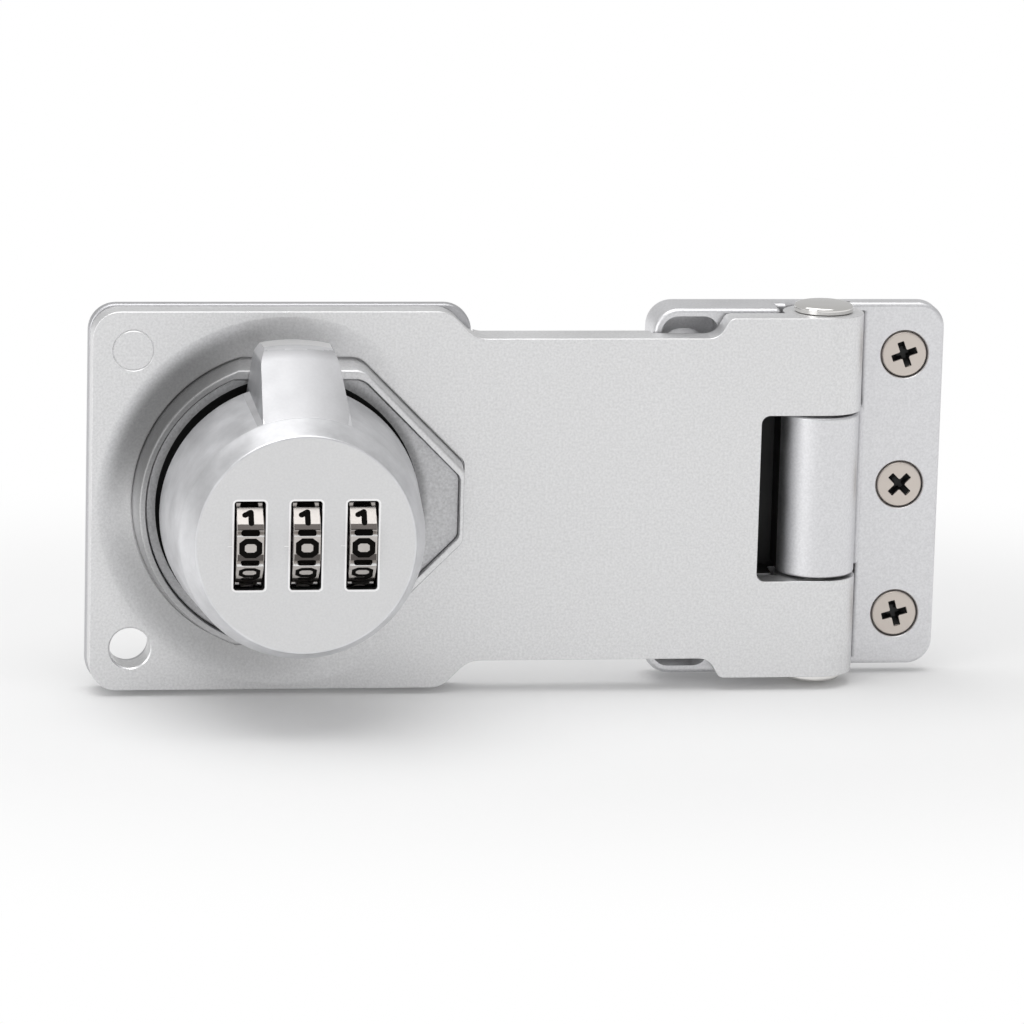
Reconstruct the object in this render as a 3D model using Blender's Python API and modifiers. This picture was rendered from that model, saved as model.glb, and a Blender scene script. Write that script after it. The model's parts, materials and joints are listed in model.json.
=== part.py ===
"""Locking hasp with a three-dial turn knob.

Every piece is modelled lying on its back, with x to the right, y towards the top and z towards the viewer,
and stood up by one parent empty. The origin is on the back of the hinge leaf, behind the hinge pin.
All lengths are in metres.
"""
import math

import bmesh
import bpy
from mathutils import Matrix, Vector

# Clearances
GAP = 0.0003
SEAT = 0.00005

# Hinge
BARREL_R = 0.00475
KNUCKLE_STEP = 0.00015
KNUCKLE_R = BARREL_R - KNUCKLE_STEP
KNUCKLE_LENGTH = 0.0192
PIN_R = 0.0019
PIN_HEAD_STEP = 0.00105
PIN_HEAD_R = BARREL_R - PIN_HEAD_STEP
PIN_HEAD_T = 0.0011
WEB_T = 0.0011

# Hinge leaf
LEAF_OVERHANG = 0.00025
LEAF_LEFT = 0.02015
LEAF_RIGHT = 0.01565
LEAF_CORNER_R = 0.003
LEAF_RIM_SINK = 0.0006
LEAF_RIM_W = 0.0009
LEAF_RIM_END = 0.0066
LEAF_FLOOR_T = 0.002
STRIP_T = 0.003
POCKET_W = 0.0069
POCKET_RIB = 0.0015
POCKET_R = 0.002
LEAF_EDGE_R = 0.0006

# Leaf screws
SCREW_X = 0.01055
SCREW_INSET = 0.00632
SCREW_HEAD_R = 0.00265
SCREW_SHANK_R = 0.0015
SCREW_CONE_H = 0.0013
SCREW_LIP_H = 0.0003
CROSS_W = 0.0007
CROSS_L = 0.0029
CROSS_DEPTH = 0.0009
CROSS_TURN = (math.radians(20), math.radians(45), math.radians(15))

# Hasp plate
KNOB_TO_PIN = 0.06345
KNOB_TO_END = 0.0224
HASP_HEIGHT = 0.045
WAIST_STEP = 0.0034
WAIST_HEIGHT = HASP_HEIGHT - 2 * WAIST_STEP
HINGE_STEP = 0.00075
HINGE_HEIGHT = HASP_HEIGHT - 2 * HINGE_STEP
PLATE_T = 0.0036
WAIST_DEPTH = 0.0052
FLANGE_W = 0.002
CORNER_R = 0.0032
EDGE_R = 0.0006
SHOULDER_X = 0.0187
HIP_X = 0.0118
HIP_SLOPE = math.radians(60)
HIP_FOOT_R = 0.002
HIP_TOP_R = 0.001
SIDE_DRAFT = 0.00015
NOTCH_DEPTH = 0.00775
NOTCH_CORNER_R = 0.001
HOLE_R = 0.00245
HOLE_INSET_X = 0.0047
HOLE_INSET_Y = 0.0051
HOLE_X = KNOB_TO_END - HOLE_INSET_X
HOLE_Y = HASP_HEIGHT / 2 - HOLE_INSET_Y
LEAF_HEIGHT = HINGE_HEIGHT + 2 * LEAF_OVERHANG
SCREW_SPACING = LEAF_HEIGHT / 2 - SCREW_INSET

# Collar and opening of the hasp, round the knob's axis
OPENING_R = 0.01635
OPENING_FLAT = 0.01525
OPENING_DIAGONAL = 0.0166
OPENING_NOSE = 0.0199
FLAT_CORNER_R = 0.0025
NOSE_CORNER_R = 0.0014
COLLAR_HEIGHT = 0.0036
COLLAR_RIM = 0.0005
COLLAR_FOOT = 0.0013
DISH_R = 0.0216
DISH_FLOOR_R = 0.0177
DISH_DEPTH = 0.0009

# Lock base
BASE_T = 0.0017
BASE_OVERHANG = 0.0002
BASE_RIGHT = 0.0218
BOSS_DROP = 0.0008
BEARING_RING_R = 0.0122
HUB_R = 0.006
RECESS_R = 0.0107
RECESS_DEPTH = 0.0036
WASHER_R = 0.0095
WASHER_T = 0.0012
RETAINER_HEAD_R = 0.0029
RETAINER_HEAD_H = 0.0014
RETAINER_SHANK_R = 0.0014
RETAINER_LENGTH = 0.0050

# Knob shell
KNOB_LIFT = 0.002
KNOB_R = 0.01505
KNOB_SHOULDER_R = 0.0139
KNOB_FACE_R = 0.0125
KNOB_SIDE_H = 0.01385
KNOB_BEVEL_H = 0.0036
FACE_WALL = 0.001
COVER_R = 0.0125
COVER_T = 0.0016
COVER_SET_IN = 0.0002
CHAMBER_END = 0.00335
SPRING_BAY_STEP = 0.0007
CHAMBER_SIDE_GAP = 0.00035
SPRING_BAY_Y = 0.0086
SPINDLE_R = 0.0009
SPINDLE_SEAT = 0.0016

# Lug
LUG_LIFT = 0.0004
LUG_REACH = 0.01965
LUG_ROOT_W = 0.0124
LUG_TIP_W = 0.0089
LUG_DRAFT = 0.0005
LUG_TIP_H = 0.0050
LUG_CORNER_R = 0.0025

# Dials
DIAL_COUNT = 3
DIAL_PITCH = 0.00635
DIAL_SIDES = 10
DIAL_R = 0.0055
DIAL_W = 0.00305
DIAL_PROUD = 0.001
DIAL_BORE_R = 0.0023
GROOVE_W = 0.0007
GROOVE_DEPTH = 0.00035
SLOT_W = 0.00345
SLOT_H = 0.0101
SLEEVE_HUB_R = 0.002
SLEEVE_FLANGE_R = 0.0029
SLEEVE_FLANGE_T = 0.0012
GATE_W = 0.0024
GATE_DEPTH = 0.00115

# Locking fence and its ramp
FENCE_TRAVEL = 0.0012
FENCE_T = 0.0015
FENCE_END_GAP = 0.0004
FENCE_HALF_Y = 0.0016
BLADE_T = 0.0008
BLADE_HALF_Y = 0.0008
ARM_HALF_X = 0.0013
FOOT_R = 0.0012
FOOT_ORBIT = 0.0096
FOOT_BITE = 0.0025
FENCE_SPRING_R = 0.0011
FENCE_SPRING_WIRE = 0.00015
FENCE_SPRING_TURNS = 5
FENCE_SPRING_L = 0.0046
QUARTER_TURN = math.radians(90)

# Click spring
CLICK_T = 0.0003
CLICK_BAR_H = 0.0019
CLICK_FINGER_W = 0.002
CLICK_TIP_Y = 0.0027

# Turn detent
BALL_R = 0.0009
BALL_ANGLE = math.radians(60)
BALL_SHOW = 0.00022
DIMPLE_DEPTH = 0.0004
DETENT_SPRING_R = 0.00065
DETENT_SPRING_WIRE = 0.00013
DETENT_SPRING_TURNS = 5
DETENT_SPRING_L = 0.003

# Cover screws
COVER_SCREW_R = 0.0007
COVER_SCREW_HEAD_R = 0.0014
COVER_SCREW_CONE = 0.0007
COVER_SCREW_L = 0.0045
COVER_SCREW_SPOTS = ((0.0, 0.0106), (-0.0076, -0.0075), (0.0076, -0.0075))

# Heights above the back of the leaf
PIN_H = WEB_T + GAP + BARREL_R
FRONT_H = PIN_H + BARREL_R
HASP_BACK_H = FRONT_H - PLATE_T
LEAF_RIM_DEPTH = HASP_BACK_H - LEAF_RIM_SINK
BASE_TOP_H = HASP_BACK_H - GAP
BASE_BACK_H = BASE_TOP_H - BASE_T
COLLAR_H = FRONT_H + COLLAR_HEIGHT
BOSS_H = COLLAR_H - BOSS_DROP
LUG_H = COLLAR_H + LUG_LIFT
KNOB_H = COLLAR_H + KNOB_LIFT
COVER_H = KNOB_H + COVER_SET_IN
RING_H = COVER_H - GAP
COVER_TOP_H = COVER_H + COVER_T
SHOULDER_H = KNOB_H + KNOB_SIDE_H
FACE_H = SHOULDER_H + KNOB_BEVEL_H
RECESS_H = BASE_BACK_H + RECESS_DEPTH
WASHER_H = RECESS_H - GAP - WASHER_T

# Dial stack, behind the knob's face
DIAL_FLAT_R = DIAL_R * math.cos(math.pi / DIAL_SIDES)
DIAL_H = FACE_H + DIAL_PROUD - DIAL_FLAT_R
CHAMBER_H = FACE_H - FACE_WALL
CHAMBER_X = (DIAL_COUNT - 1) / 2 * DIAL_PITCH + CHAMBER_END
SPRING_BAY_X = CHAMBER_X - SPRING_BAY_STEP
FENCE_HALF_X = CHAMBER_X - FENCE_END_GAP
CHAMBER_Y = DIAL_R + CHAMBER_SIDE_GAP
FENCE_FRONT_H = DIAL_H - DIAL_R - GAP - FENCE_TRAVEL
BLADE_TIP_H = DIAL_H - SLEEVE_FLANGE_R - GAP
CLICK_BAY_H = DIAL_H - math.sqrt(DIAL_R ** 2 - CLICK_TIP_Y ** 2)
FOOT_H = RING_H - FOOT_BITE
SLEEVE_FLANGE_X = DIAL_W / 2 + GAP

KNOB_X = -KNOB_TO_PIN
DIAL_SPOTS = [(index - (DIAL_COUNT - 1) / 2) * DIAL_PITCH for index in range(DIAL_COUNT)]

OBJECT_NAME = "locking_hasp"
ROUND_STEPS = 48
SMALL_STEPS = 24


def start_clean():
    """Empties the scene and makes the collections for the pieces and for the cutters."""
    for item in list(bpy.data.objects):
        bpy.data.objects.remove(item, do_unlink=True)
    collections = []
    for name in (OBJECT_NAME, "cutters"):
        collection = bpy.data.collections.new(name)
        bpy.context.scene.collection.children.link(collection)
        collections.append(collection)
    return collections


PARTS, CUTTERS = start_clean()


def add_empty(name, place, parent=None):
    """An empty on a joint's axis; place is measured from the back of the leaf, before it stands up."""
    empty = bpy.data.objects.new(name, None)
    empty.empty_display_size = 0.01
    PARTS.objects.link(empty)
    empty["bench"] = place
    if parent is None:
        empty.rotation_euler = (math.pi / 2, 0.0, 0.0)
        empty.location = place
    else:
        empty.parent = parent
        empty.location = Vector(place) - Vector(parent["bench"])
    return empty


UPRIGHT = add_empty("upright", (0.0, 0.0, 0.0))
HASP_AXIS = add_empty("hasp_swing_axis", (0.0, 0.0, PIN_H), UPRIGHT)
KNOB_AXIS = add_empty("knob_turn_axis", (KNOB_X, 0.0, KNOB_H), HASP_AXIS)
FENCE_AXIS = add_empty("fence_slide_axis", (KNOB_X, 0.0, FENCE_FRONT_H), KNOB_AXIS)
DIAL_AXES = [add_empty(f"dial_axis_{number + 1}", (KNOB_X + spot, 0.0, DIAL_H), KNOB_AXIS)
             for number, spot in enumerate(DIAL_SPOTS)]


def make_material(name, color, roughness, metallic=1.0):
    """A plain metal finish."""
    material = bpy.data.materials.new(name)
    material.use_nodes = True
    shader = material.node_tree.nodes["Principled BSDF"]
    shader.inputs["Base Color"].default_value = (*color, 1.0)
    shader.inputs["Roughness"].default_value = roughness
    shader.inputs["Metallic"].default_value = metallic
    return material


ZINC = make_material("satin_zinc", (0.70, 0.70, 0.71), 0.42)
BRIGHT = make_material("bright_nickel", (0.80, 0.79, 0.77), 0.16)
WARM_NICKEL = make_material("warm_nickel", (0.66, 0.60, 0.55), 0.30)
STEEL = make_material("steel", (0.56, 0.57, 0.58), 0.30)
SPRING_STEEL = make_material("spring_steel", (0.42, 0.43, 0.45), 0.28)
BRASS = make_material("brass", (0.72, 0.56, 0.26), 0.30)


def settle(piece, parent, collection=None, material=None):
    """Hangs a mesh object, drawn in bench coordinates, on the empty that it moves with."""
    (collection or PARTS).objects.link(piece)
    piece.parent = parent
    piece.location = -Vector(parent["bench"])
    if material:
        piece.data.materials.append(material)
    return piece


def tidy_mesh(mesh):
    """Welds the seams of a mesh, joins its flat triangles and points its faces outwards."""
    work = bmesh.new()
    work.from_mesh(mesh)
    bmesh.ops.remove_doubles(work, verts=work.verts, dist=1e-7)
    bmesh.ops.dissolve_limit(work, angle_limit=math.radians(0.2), verts=work.verts, edges=work.edges)
    bmesh.ops.recalc_face_normals(work, faces=work.faces)
    work.to_mesh(mesh)
    work.free()
    return mesh


def evaluated_mesh(source):
    """The mesh that an object shows once its modifiers or its curve bevel are worked out."""
    bpy.context.scene.collection.objects.link(source)
    bpy.context.view_layer.update()
    mesh = bpy.data.meshes.new_from_object(source.evaluated_get(bpy.context.evaluated_depsgraph_get()))
    mesh.name = source.name
    data = source.data
    bpy.data.objects.remove(source)
    if isinstance(data, bpy.types.Curve):
        bpy.data.curves.remove(data)
    return tidy_mesh(mesh)


def new_piece(name, mesh, parent, material):
    """A visible piece of the lock."""
    piece = bpy.data.objects.new(name, mesh)
    mesh.materials.clear()
    settle(piece, parent, PARTS, material)
    return piece


def new_tool(name, mesh):
    """A hidden helper shape that cuts or joins."""
    tool = bpy.data.objects.new(name, mesh)
    settle(tool, UPRIGHT, CUTTERS)
    tool.hide_render = True
    tool.display_type = "WIRE"
    return tool


def apply_tool(piece, mesh, operation="DIFFERENCE"):
    """Cuts a helper shape from a piece, joins it on, or keeps what both hold."""
    tool = new_tool(f"{piece.name}_{mesh.name}", mesh)
    modifier = piece.modifiers.new(mesh.name, "BOOLEAN")
    modifier.operation = operation
    modifier.solver = "EXACT"
    modifier.object = tool


def smooth_round(piece, angle=math.radians(35)):
    """Smooth shading across gentle edges."""
    piece.data.shade_smooth()
    piece.data.set_sharp_from_angle(angle=angle)


def arc(center, radius, start, end, steps):
    """Points of an arc, both ends included."""
    return [(center[0] + radius * math.cos(start + (end - start) * index / steps),
             center[1] + radius * math.sin(start + (end - start) * index / steps))
            for index in range(steps + 1)]


def rounded_outline(corners, steps=5):
    """Outline through corners (x, y, radius), with an arc at each corner that has a radius."""
    points = []
    for index, (x, y, radius) in enumerate(corners):
        here = Vector((x, y))
        if radius == 0:
            points.append((x, y))
            continue
        back = (Vector(corners[index - 1][:2]) - here).normalized()
        ahead = (Vector(corners[(index + 1) % len(corners)][:2]) - here).normalized()
        half = back.angle(ahead) / 2
        center = here + (back + ahead).normalized() * radius / math.sin(half)
        first = here + back * radius / math.tan(half) - center
        last = here + ahead * radius / math.tan(half) - center
        start = math.atan2(first.y, first.x)
        sweep = (math.atan2(last.y, last.x) - start + math.pi) % math.tau - math.pi
        points += arc(center, radius, start, start + sweep, steps)
    return points


def rectangle(left, right, bottom, top, radius=0.0):
    """Corners of a rectangle, all rounded alike."""
    return [(left, bottom, radius), (right, bottom, radius), (right, top, radius), (left, top, radius)]


def slab(name, outline, low, high, edge=0.0, resolution=2):
    """A flat plate between two heights, whose rims may be rounded by edge."""
    curve = bpy.data.curves.new(name, "CURVE")
    curve.dimensions = "2D"
    curve.fill_mode = "BOTH"
    curve.extrude = (high - low) / 2 - edge
    curve.bevel_depth = edge
    curve.bevel_resolution = resolution
    curve.offset = -edge
    spline = curve.splines.new("POLY")
    spline.points.add(len(outline) - 1)
    for point, (x, y) in zip(spline.points, outline):
        point.co = (x, y, 0.0, 1.0)
    spline.use_cyclic_u = True
    mesh = evaluated_mesh(bpy.data.objects.new(name, curve))
    mesh.transform(Matrix.Translation((0.0, 0.0, (low + high) / 2)))
    return mesh


def lofted(name, rings):
    """A closed loft through rings of 3-D points that all have as many points."""
    work = bmesh.new()
    loops = [[work.verts.new(point) for point in ring] for ring in rings]
    for lower, upper in zip(loops, loops[1:]):
        for index, vertex in enumerate(lower):
            after = (index + 1) % len(lower)
            work.faces.new((vertex, lower[after], upper[after], upper[index]))
    work.faces.new(reversed(loops[0]))
    work.faces.new(loops[-1])
    bmesh.ops.recalc_face_normals(work, faces=work.faces)
    mesh = bpy.data.meshes.new(name)
    work.to_mesh(mesh)
    work.free()
    return mesh


def block(name, left, right, bottom, top, low, high):
    """A plain box between six planes."""
    work = bmesh.new()
    size = (right - left, top - bottom, high - low)
    middle = ((left + right) / 2, (bottom + top) / 2, (low + high) / 2)
    bmesh.ops.create_cube(work, size=1.0, matrix=Matrix.Translation(middle) @ Matrix.Diagonal((*size, 1.0)))
    mesh = bpy.data.meshes.new(name)
    work.to_mesh(mesh)
    work.free()
    return mesh


def turned(name, profile, center=(0.0, 0.0), steps=ROUND_STEPS):
    """A turned shape; the profile runs down its outer side as (radius, height), and closes on the axis or itself."""
    mesh = bpy.data.meshes.new(name)
    edges = [(index, index + 1) for index in range(len(profile) - 1)]
    if profile[0][0] > 0:
        edges.append((len(profile) - 1, 0))
    mesh.from_pydata([(radius, 0.0, height) for radius, height in profile], edges, [])
    source = bpy.data.objects.new(name, mesh)
    screw = source.modifiers.new("turn", "SCREW")
    screw.steps = steps
    screw.render_steps = steps
    screw.use_merge_vertices = True
    screw.merge_threshold = 1e-6
    result = evaluated_mesh(source)
    result.transform(Matrix.Translation((*center, 0.0)))
    return result


def disc(name, radius, low, high, center=(0.0, 0.0), steps=ROUND_STEPS):
    """A round bar that stands on the bench."""
    return turned(name, [(0.0, high), (radius, high), (radius, low), (0.0, low)], center, steps)


def laid_along_x(mesh, x=0.0, y=0.0, height=0.0):
    """Turns a mesh drawn round the upright axis so that its axis lies along x."""
    mesh.transform(Matrix.Translation((x, y, height)) @ Matrix.Rotation(math.pi / 2, 4, "Y"))
    return mesh


def laid_along_y(mesh, x=0.0, y=0.0, height=0.0):
    """Turns a mesh drawn round the upright axis so that its axis lies along y."""
    mesh.transform(Matrix.Translation((x, y, height)) @ Matrix.Rotation(-math.pi / 2, 4, "X"))
    return mesh


def coil(name, center, radius, wire, turns, low, high, steps=10):
    """A coil spring of round wire between two heights."""
    curve = bpy.data.curves.new(name, "CURVE")
    curve.dimensions = "3D"
    curve.bevel_depth = wire
    curve.bevel_resolution = 1
    curve.use_fill_caps = True
    spline = curve.splines.new("POLY")
    count = turns * steps
    spline.points.add(count)
    bottom = low + wire
    rise = high - low - 2 * wire
    for index, point in enumerate(spline.points):
        angle = math.tau * index / steps
        point.co = (center[0] + radius * math.cos(angle), center[1] + radius * math.sin(angle),
                    bottom + rise * index / count, 1.0)
    return evaluated_mesh(bpy.data.objects.new(name, curve))


def flat_head(radius, cone, shank, lip, top, bottom):
    """Profile of a countersunk screw, from the middle of its head to the end of its shank."""
    return [(0.0, top), (radius, top), (radius, top - lip), (shank, top - lip - cone), (shank, bottom), (0.0, bottom)]


def hasp_outline():
    """Outline of the hasp from the knob's end to the pin, with both shoulders and both hips."""
    left = KNOB_X - KNOB_TO_END
    wide = HASP_HEIGHT / 2
    waist = WAIST_HEIGHT / 2
    end = HINGE_HEIGHT / 2
    shoulder = KNOB_X + SHOULDER_X
    hip = -HIP_X
    hip_foot = hip - (end - waist) / math.tan(HIP_SLOPE)
    lower = [(left, -wide, CORNER_R), (shoulder, -wide, CORNER_R), (shoulder + wide - waist, -waist, CORNER_R),
             (hip_foot, -waist, HIP_FOOT_R), (hip, -end, HIP_TOP_R), (0.0, SIDE_DRAFT - end, 0.0)]
    upper = [(x, -y, radius) for x, y, radius in reversed(lower)]
    return rounded_outline(lower + upper)


def collar_outline(grow, height):
    """Outline of the opening round the knob, grown outwards: round on the left, a nose for the lug on the right."""
    radius = OPENING_R + grow
    flat = OPENING_FLAT + grow
    nose = OPENING_NOSE + grow
    reach = (OPENING_DIAGONAL + grow) * math.sqrt(2)
    meet = math.asin(flat / radius)
    left = -radius * math.cos(meet)
    corners = [(left, -flat, 0.0), (reach - flat, -flat, FLAT_CORNER_R), (nose, nose - reach, NOSE_CORNER_R),
               (nose, reach - nose, NOSE_CORNER_R), (reach - flat, flat, FLAT_CORNER_R), (left, flat, 0.0)]
    round_side = arc((0.0, 0.0), radius, math.pi - meet, math.pi + meet, 24)[1:-1]
    return [(KNOB_X + x, y, height) for x, y in rounded_outline(corners) + round_side]


def dish_profile():
    """Shallow dish round the collar, deepest at the collar's foot."""
    curve = [(DISH_FLOOR_R + (DISH_R - DISH_FLOOR_R) * share, FRONT_H - DISH_DEPTH * (1 - share ** 2))
             for share in (1.2, 0.9, 0.6, 0.3, 0.0)]
    return [(0.0, curve[0][1])] + curve + [(0.0, FRONT_H - DISH_DEPTH)]


def make_hasp():
    """The hasp: wide end with dish and collar, waist with two flanges behind, and two knuckles."""
    deep = FRONT_H - WAIST_DEPTH
    body = slab("hasp_plate", hasp_outline(), deep, FRONT_H, EDGE_R)
    hasp = new_piece("hasp_plate", body, HASP_AXIS, ZINC)
    edge = EDGE_R / 2
    half = HINGE_HEIGHT / 2
    barrel = turned("barrel", [(0.0, half), (BARREL_R - edge, half), (BARREL_R, half - edge),
                               (BARREL_R, edge - half), (BARREL_R - edge, -half), (0.0, -half)])
    margin = 0.001
    tall = HASP_HEIGHT / 2 + margin
    left = KNOB_X - KNOB_TO_END - margin
    base_end = KNOB_X + BASE_RIGHT + GAP
    inner = WAIST_HEIGHT / 2 - FLANGE_W
    leaf_end = -LEAF_LEFT - GAP
    lower = [(left, -tall, 0.0), (base_end, -tall, 0.0), (base_end, -inner, 0.0),
             (leaf_end, -inner, 0.0), (leaf_end, -tall, 0.0), (margin, -tall, 0.0)]
    upper = [(x, -y, radius) for x, y, radius in reversed(lower)]
    apply_tool(hasp, slab("behind", rounded_outline(lower + upper), deep - margin, HASP_BACK_H))
    apply_tool(hasp, laid_along_y(barrel, height=PIN_H), "UNION")
    apply_tool(hasp, turned("dish", dish_profile(), (KNOB_X, 0.0), 72))
    collar = lofted("collar", [collar_outline(COLLAR_FOOT, FRONT_H - PLATE_T / 2), collar_outline(COLLAR_RIM, COLLAR_H)])
    apply_tool(hasp, collar, "UNION")
    opening = lofted("opening", [collar_outline(0.0, deep), collar_outline(0.0, COLLAR_H + margin)])
    apply_tool(hasp, opening)
    apply_tool(hasp, disc("hole", HOLE_R, deep, FRONT_H + margin, (KNOB_X - HOLE_X, -HOLE_Y), 32))
    notch = rounded_outline(rectangle(-NOTCH_DEPTH, 2 * BARREL_R, -KNUCKLE_LENGTH / 2 - GAP,
                                      KNUCKLE_LENGTH / 2 + GAP, NOTCH_CORNER_R))
    apply_tool(hasp, slab("notch", notch, 0.0, FRONT_H + margin))
    bore = disc("bore", PIN_R + GAP, -HINGE_HEIGHT, HINGE_HEIGHT, steps=SMALL_STEPS)
    apply_tool(hasp, laid_along_y(bore, height=PIN_H))
    smooth_round(hasp)


def make_leaf():
    """The leaf: pocketed plate behind the hasp, web behind the barrel, middle knuckle and screw strip."""
    half = LEAF_HEIGHT / 2
    plate = rounded_outline([(-LEAF_LEFT, -half, LEAF_CORNER_R), (-LEAF_RIM_END, -half, 0.0),
                             (-LEAF_RIM_END, half, 0.0), (-LEAF_LEFT, half, LEAF_CORNER_R)])
    start = -LEAF_RIM_END - LEAF_RIM_W
    wide_from = -LEAF_RIM_END + LEAF_RIM_W
    narrow = half - 2 * LEAF_RIM_W
    strip = rounded_outline([(start, -narrow, 0.0), (wide_from, -half, 0.0), (LEAF_RIGHT, -half, LEAF_CORNER_R),
                             (LEAF_RIGHT, half, LEAF_CORNER_R), (wide_from, half, 0.0), (start, narrow, 0.0)])
    leaf = new_piece("hinge_leaf", slab("hinge_leaf", plate, SEAT, LEAF_RIM_DEPTH, LEAF_EDGE_R), UPRIGHT, ZINC)
    apply_tool(leaf, slab("strip", strip, 0.0, STRIP_T, LEAF_EDGE_R), "UNION")
    clear = disc("barrel_clearance", BARREL_R + GAP, -LEAF_HEIGHT, LEAF_HEIGHT)
    apply_tool(leaf, laid_along_y(clear, height=PIN_H))
    length = KNUCKLE_LENGTH / 2
    inner = math.sqrt(KNUCKLE_R ** 2 - (PIN_H - WEB_T) ** 2) if KNUCKLE_R > PIN_H - WEB_T else KNUCKLE_R / 2
    support = block("knuckle_support", -inner, KNUCKLE_R, -length, length, WEB_T / 2, PIN_H)
    apply_tool(leaf, support, "UNION")
    apply_tool(leaf, laid_along_y(disc("knuckle", KNUCKLE_R, -length, length), height=PIN_H), "UNION")
    bore = disc("bore", PIN_R + GAP, -LEAF_HEIGHT, LEAF_HEIGHT, steps=SMALL_STEPS)
    apply_tool(leaf, laid_along_y(bore, height=PIN_H))
    cut_pockets(leaf)
    for spot in (-1, 0, 1):
        seat = flat_head(SCREW_HEAD_R + GAP, SCREW_CONE_H, SCREW_SHANK_R + GAP, SCREW_LIP_H + GAP,
                         STRIP_T + GAP, -GAP)
        apply_tool(leaf, turned(f"screw_seat_{spot + 2}", seat, (SCREW_X, spot * SCREW_SPACING), SMALL_STEPS))
    smooth_round(leaf)


def cut_pockets(leaf):
    """Three pockets in the leaf's plate, with a hidden screw hole in each."""
    left = -LEAF_LEFT + LEAF_RIM_W
    tall = (LEAF_HEIGHT - 2 * LEAF_RIM_W - 2 * POCKET_RIB) / 3
    for row in (-1, 0, 1):
        middle = row * (tall + POCKET_RIB)
        outline = rounded_outline(rectangle(left, left + POCKET_W, middle - tall / 2, middle + tall / 2, POCKET_R))
        apply_tool(leaf, slab(f"pocket_{row + 2}", outline, LEAF_FLOOR_T, LEAF_RIM_DEPTH + GAP))
        seat = flat_head(SCREW_HEAD_R + GAP, SCREW_CONE_H, SCREW_SHANK_R + GAP, GAP, LEAF_FLOOR_T + GAP, -GAP)
        spot = (left + POCKET_W / 2, row * SCREW_SPACING)
        apply_tool(leaf, turned(f"pocket_hole_{row + 2}", seat, spot, SMALL_STEPS))


def make_pin():
    """The hinge pin, with a low round head at each end."""
    half = HINGE_HEIGHT / 2 + SEAT
    top = half + PIN_HEAD_T
    soft = PIN_HEAD_T / 2
    upper = [(0.0, top), (PIN_HEAD_R - soft, top - soft / 6), (PIN_HEAD_R - soft / 4, top - soft / 2),
             (PIN_HEAD_R, top - soft), (PIN_HEAD_R, half), (PIN_R, half)]
    lower = [(radius, -height) for radius, height in reversed(upper)]
    mesh = laid_along_y(turned("hinge_pin", upper + lower, steps=32), height=PIN_H)
    smooth_round(new_piece("hinge_pin", mesh, UPRIGHT, BRIGHT))


def cut_cross(screw, spot, top, turn):
    """A cross recess in a screw head."""
    for index in range(2):
        bar = block(f"cross_{index + 1}", -CROSS_L / 2, CROSS_L / 2, -CROSS_W / 2, CROSS_W / 2,
                    top - CROSS_DEPTH, top + CROSS_DEPTH)
        bar.transform(Matrix.Translation((*spot, 0.0)) @ Matrix.Rotation(turn + index * math.pi / 2, 4, "Z"))
        apply_tool(screw, bar)


def make_leaf_screws():
    """Three countersunk screws in the strip, short enough to leave the back flat."""
    for index in range(3):
        spot = (SCREW_X, (1 - index) * SCREW_SPACING)
        profile = flat_head(SCREW_HEAD_R, SCREW_CONE_H, SCREW_SHANK_R, SCREW_LIP_H, STRIP_T, GAP)
        name = f"leaf_screw_{index + 1}"
        screw = new_piece(name, turned(name, profile, spot, 32), UPRIGHT, WARM_NICKEL)
        cut_cross(screw, spot, STRIP_T, CROSS_TURN[index])
        smooth_round(screw)


def ring_sector(name, inner, outer, start, end, floor_start, floor_end, top, steps=16):
    """A curved trough round the knob's axis, whose floor may rise from one end to the other."""
    rings = []
    for index in range(steps + 1):
        share = index / steps
        angle = start + (end - start) * share
        floor = floor_start + (floor_end - floor_start) * share
        across = (math.cos(angle), math.sin(angle))
        rings.append([(KNOB_X + across[0] * radius, across[1] * radius, height)
                      for radius, height in ((inner, floor), (outer, floor), (outer, top), (inner, top))])
    return lofted(name, rings)


def cut_ramp(base):
    """Ramp that lifts the fence's foot as the knob turns from locked, at six o'clock, to open, at nine."""
    margin = math.asin((FOOT_R + GAP) / FOOT_ORBIT)
    slope = FENCE_TRAVEL / QUARTER_TURN
    floor = FOOT_H - GAP - slope * margin
    start = 1.5 * math.pi + margin
    end = 1.5 * math.pi - QUARTER_TURN - margin
    rise = FENCE_TRAVEL + 2 * slope * margin
    wide = FOOT_R + GAP
    apply_tool(base, ring_sector("ramp", FOOT_ORBIT - wide, FOOT_ORBIT + wide, start, end, floor, floor + rise,
                                 RING_H + GAP))


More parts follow.
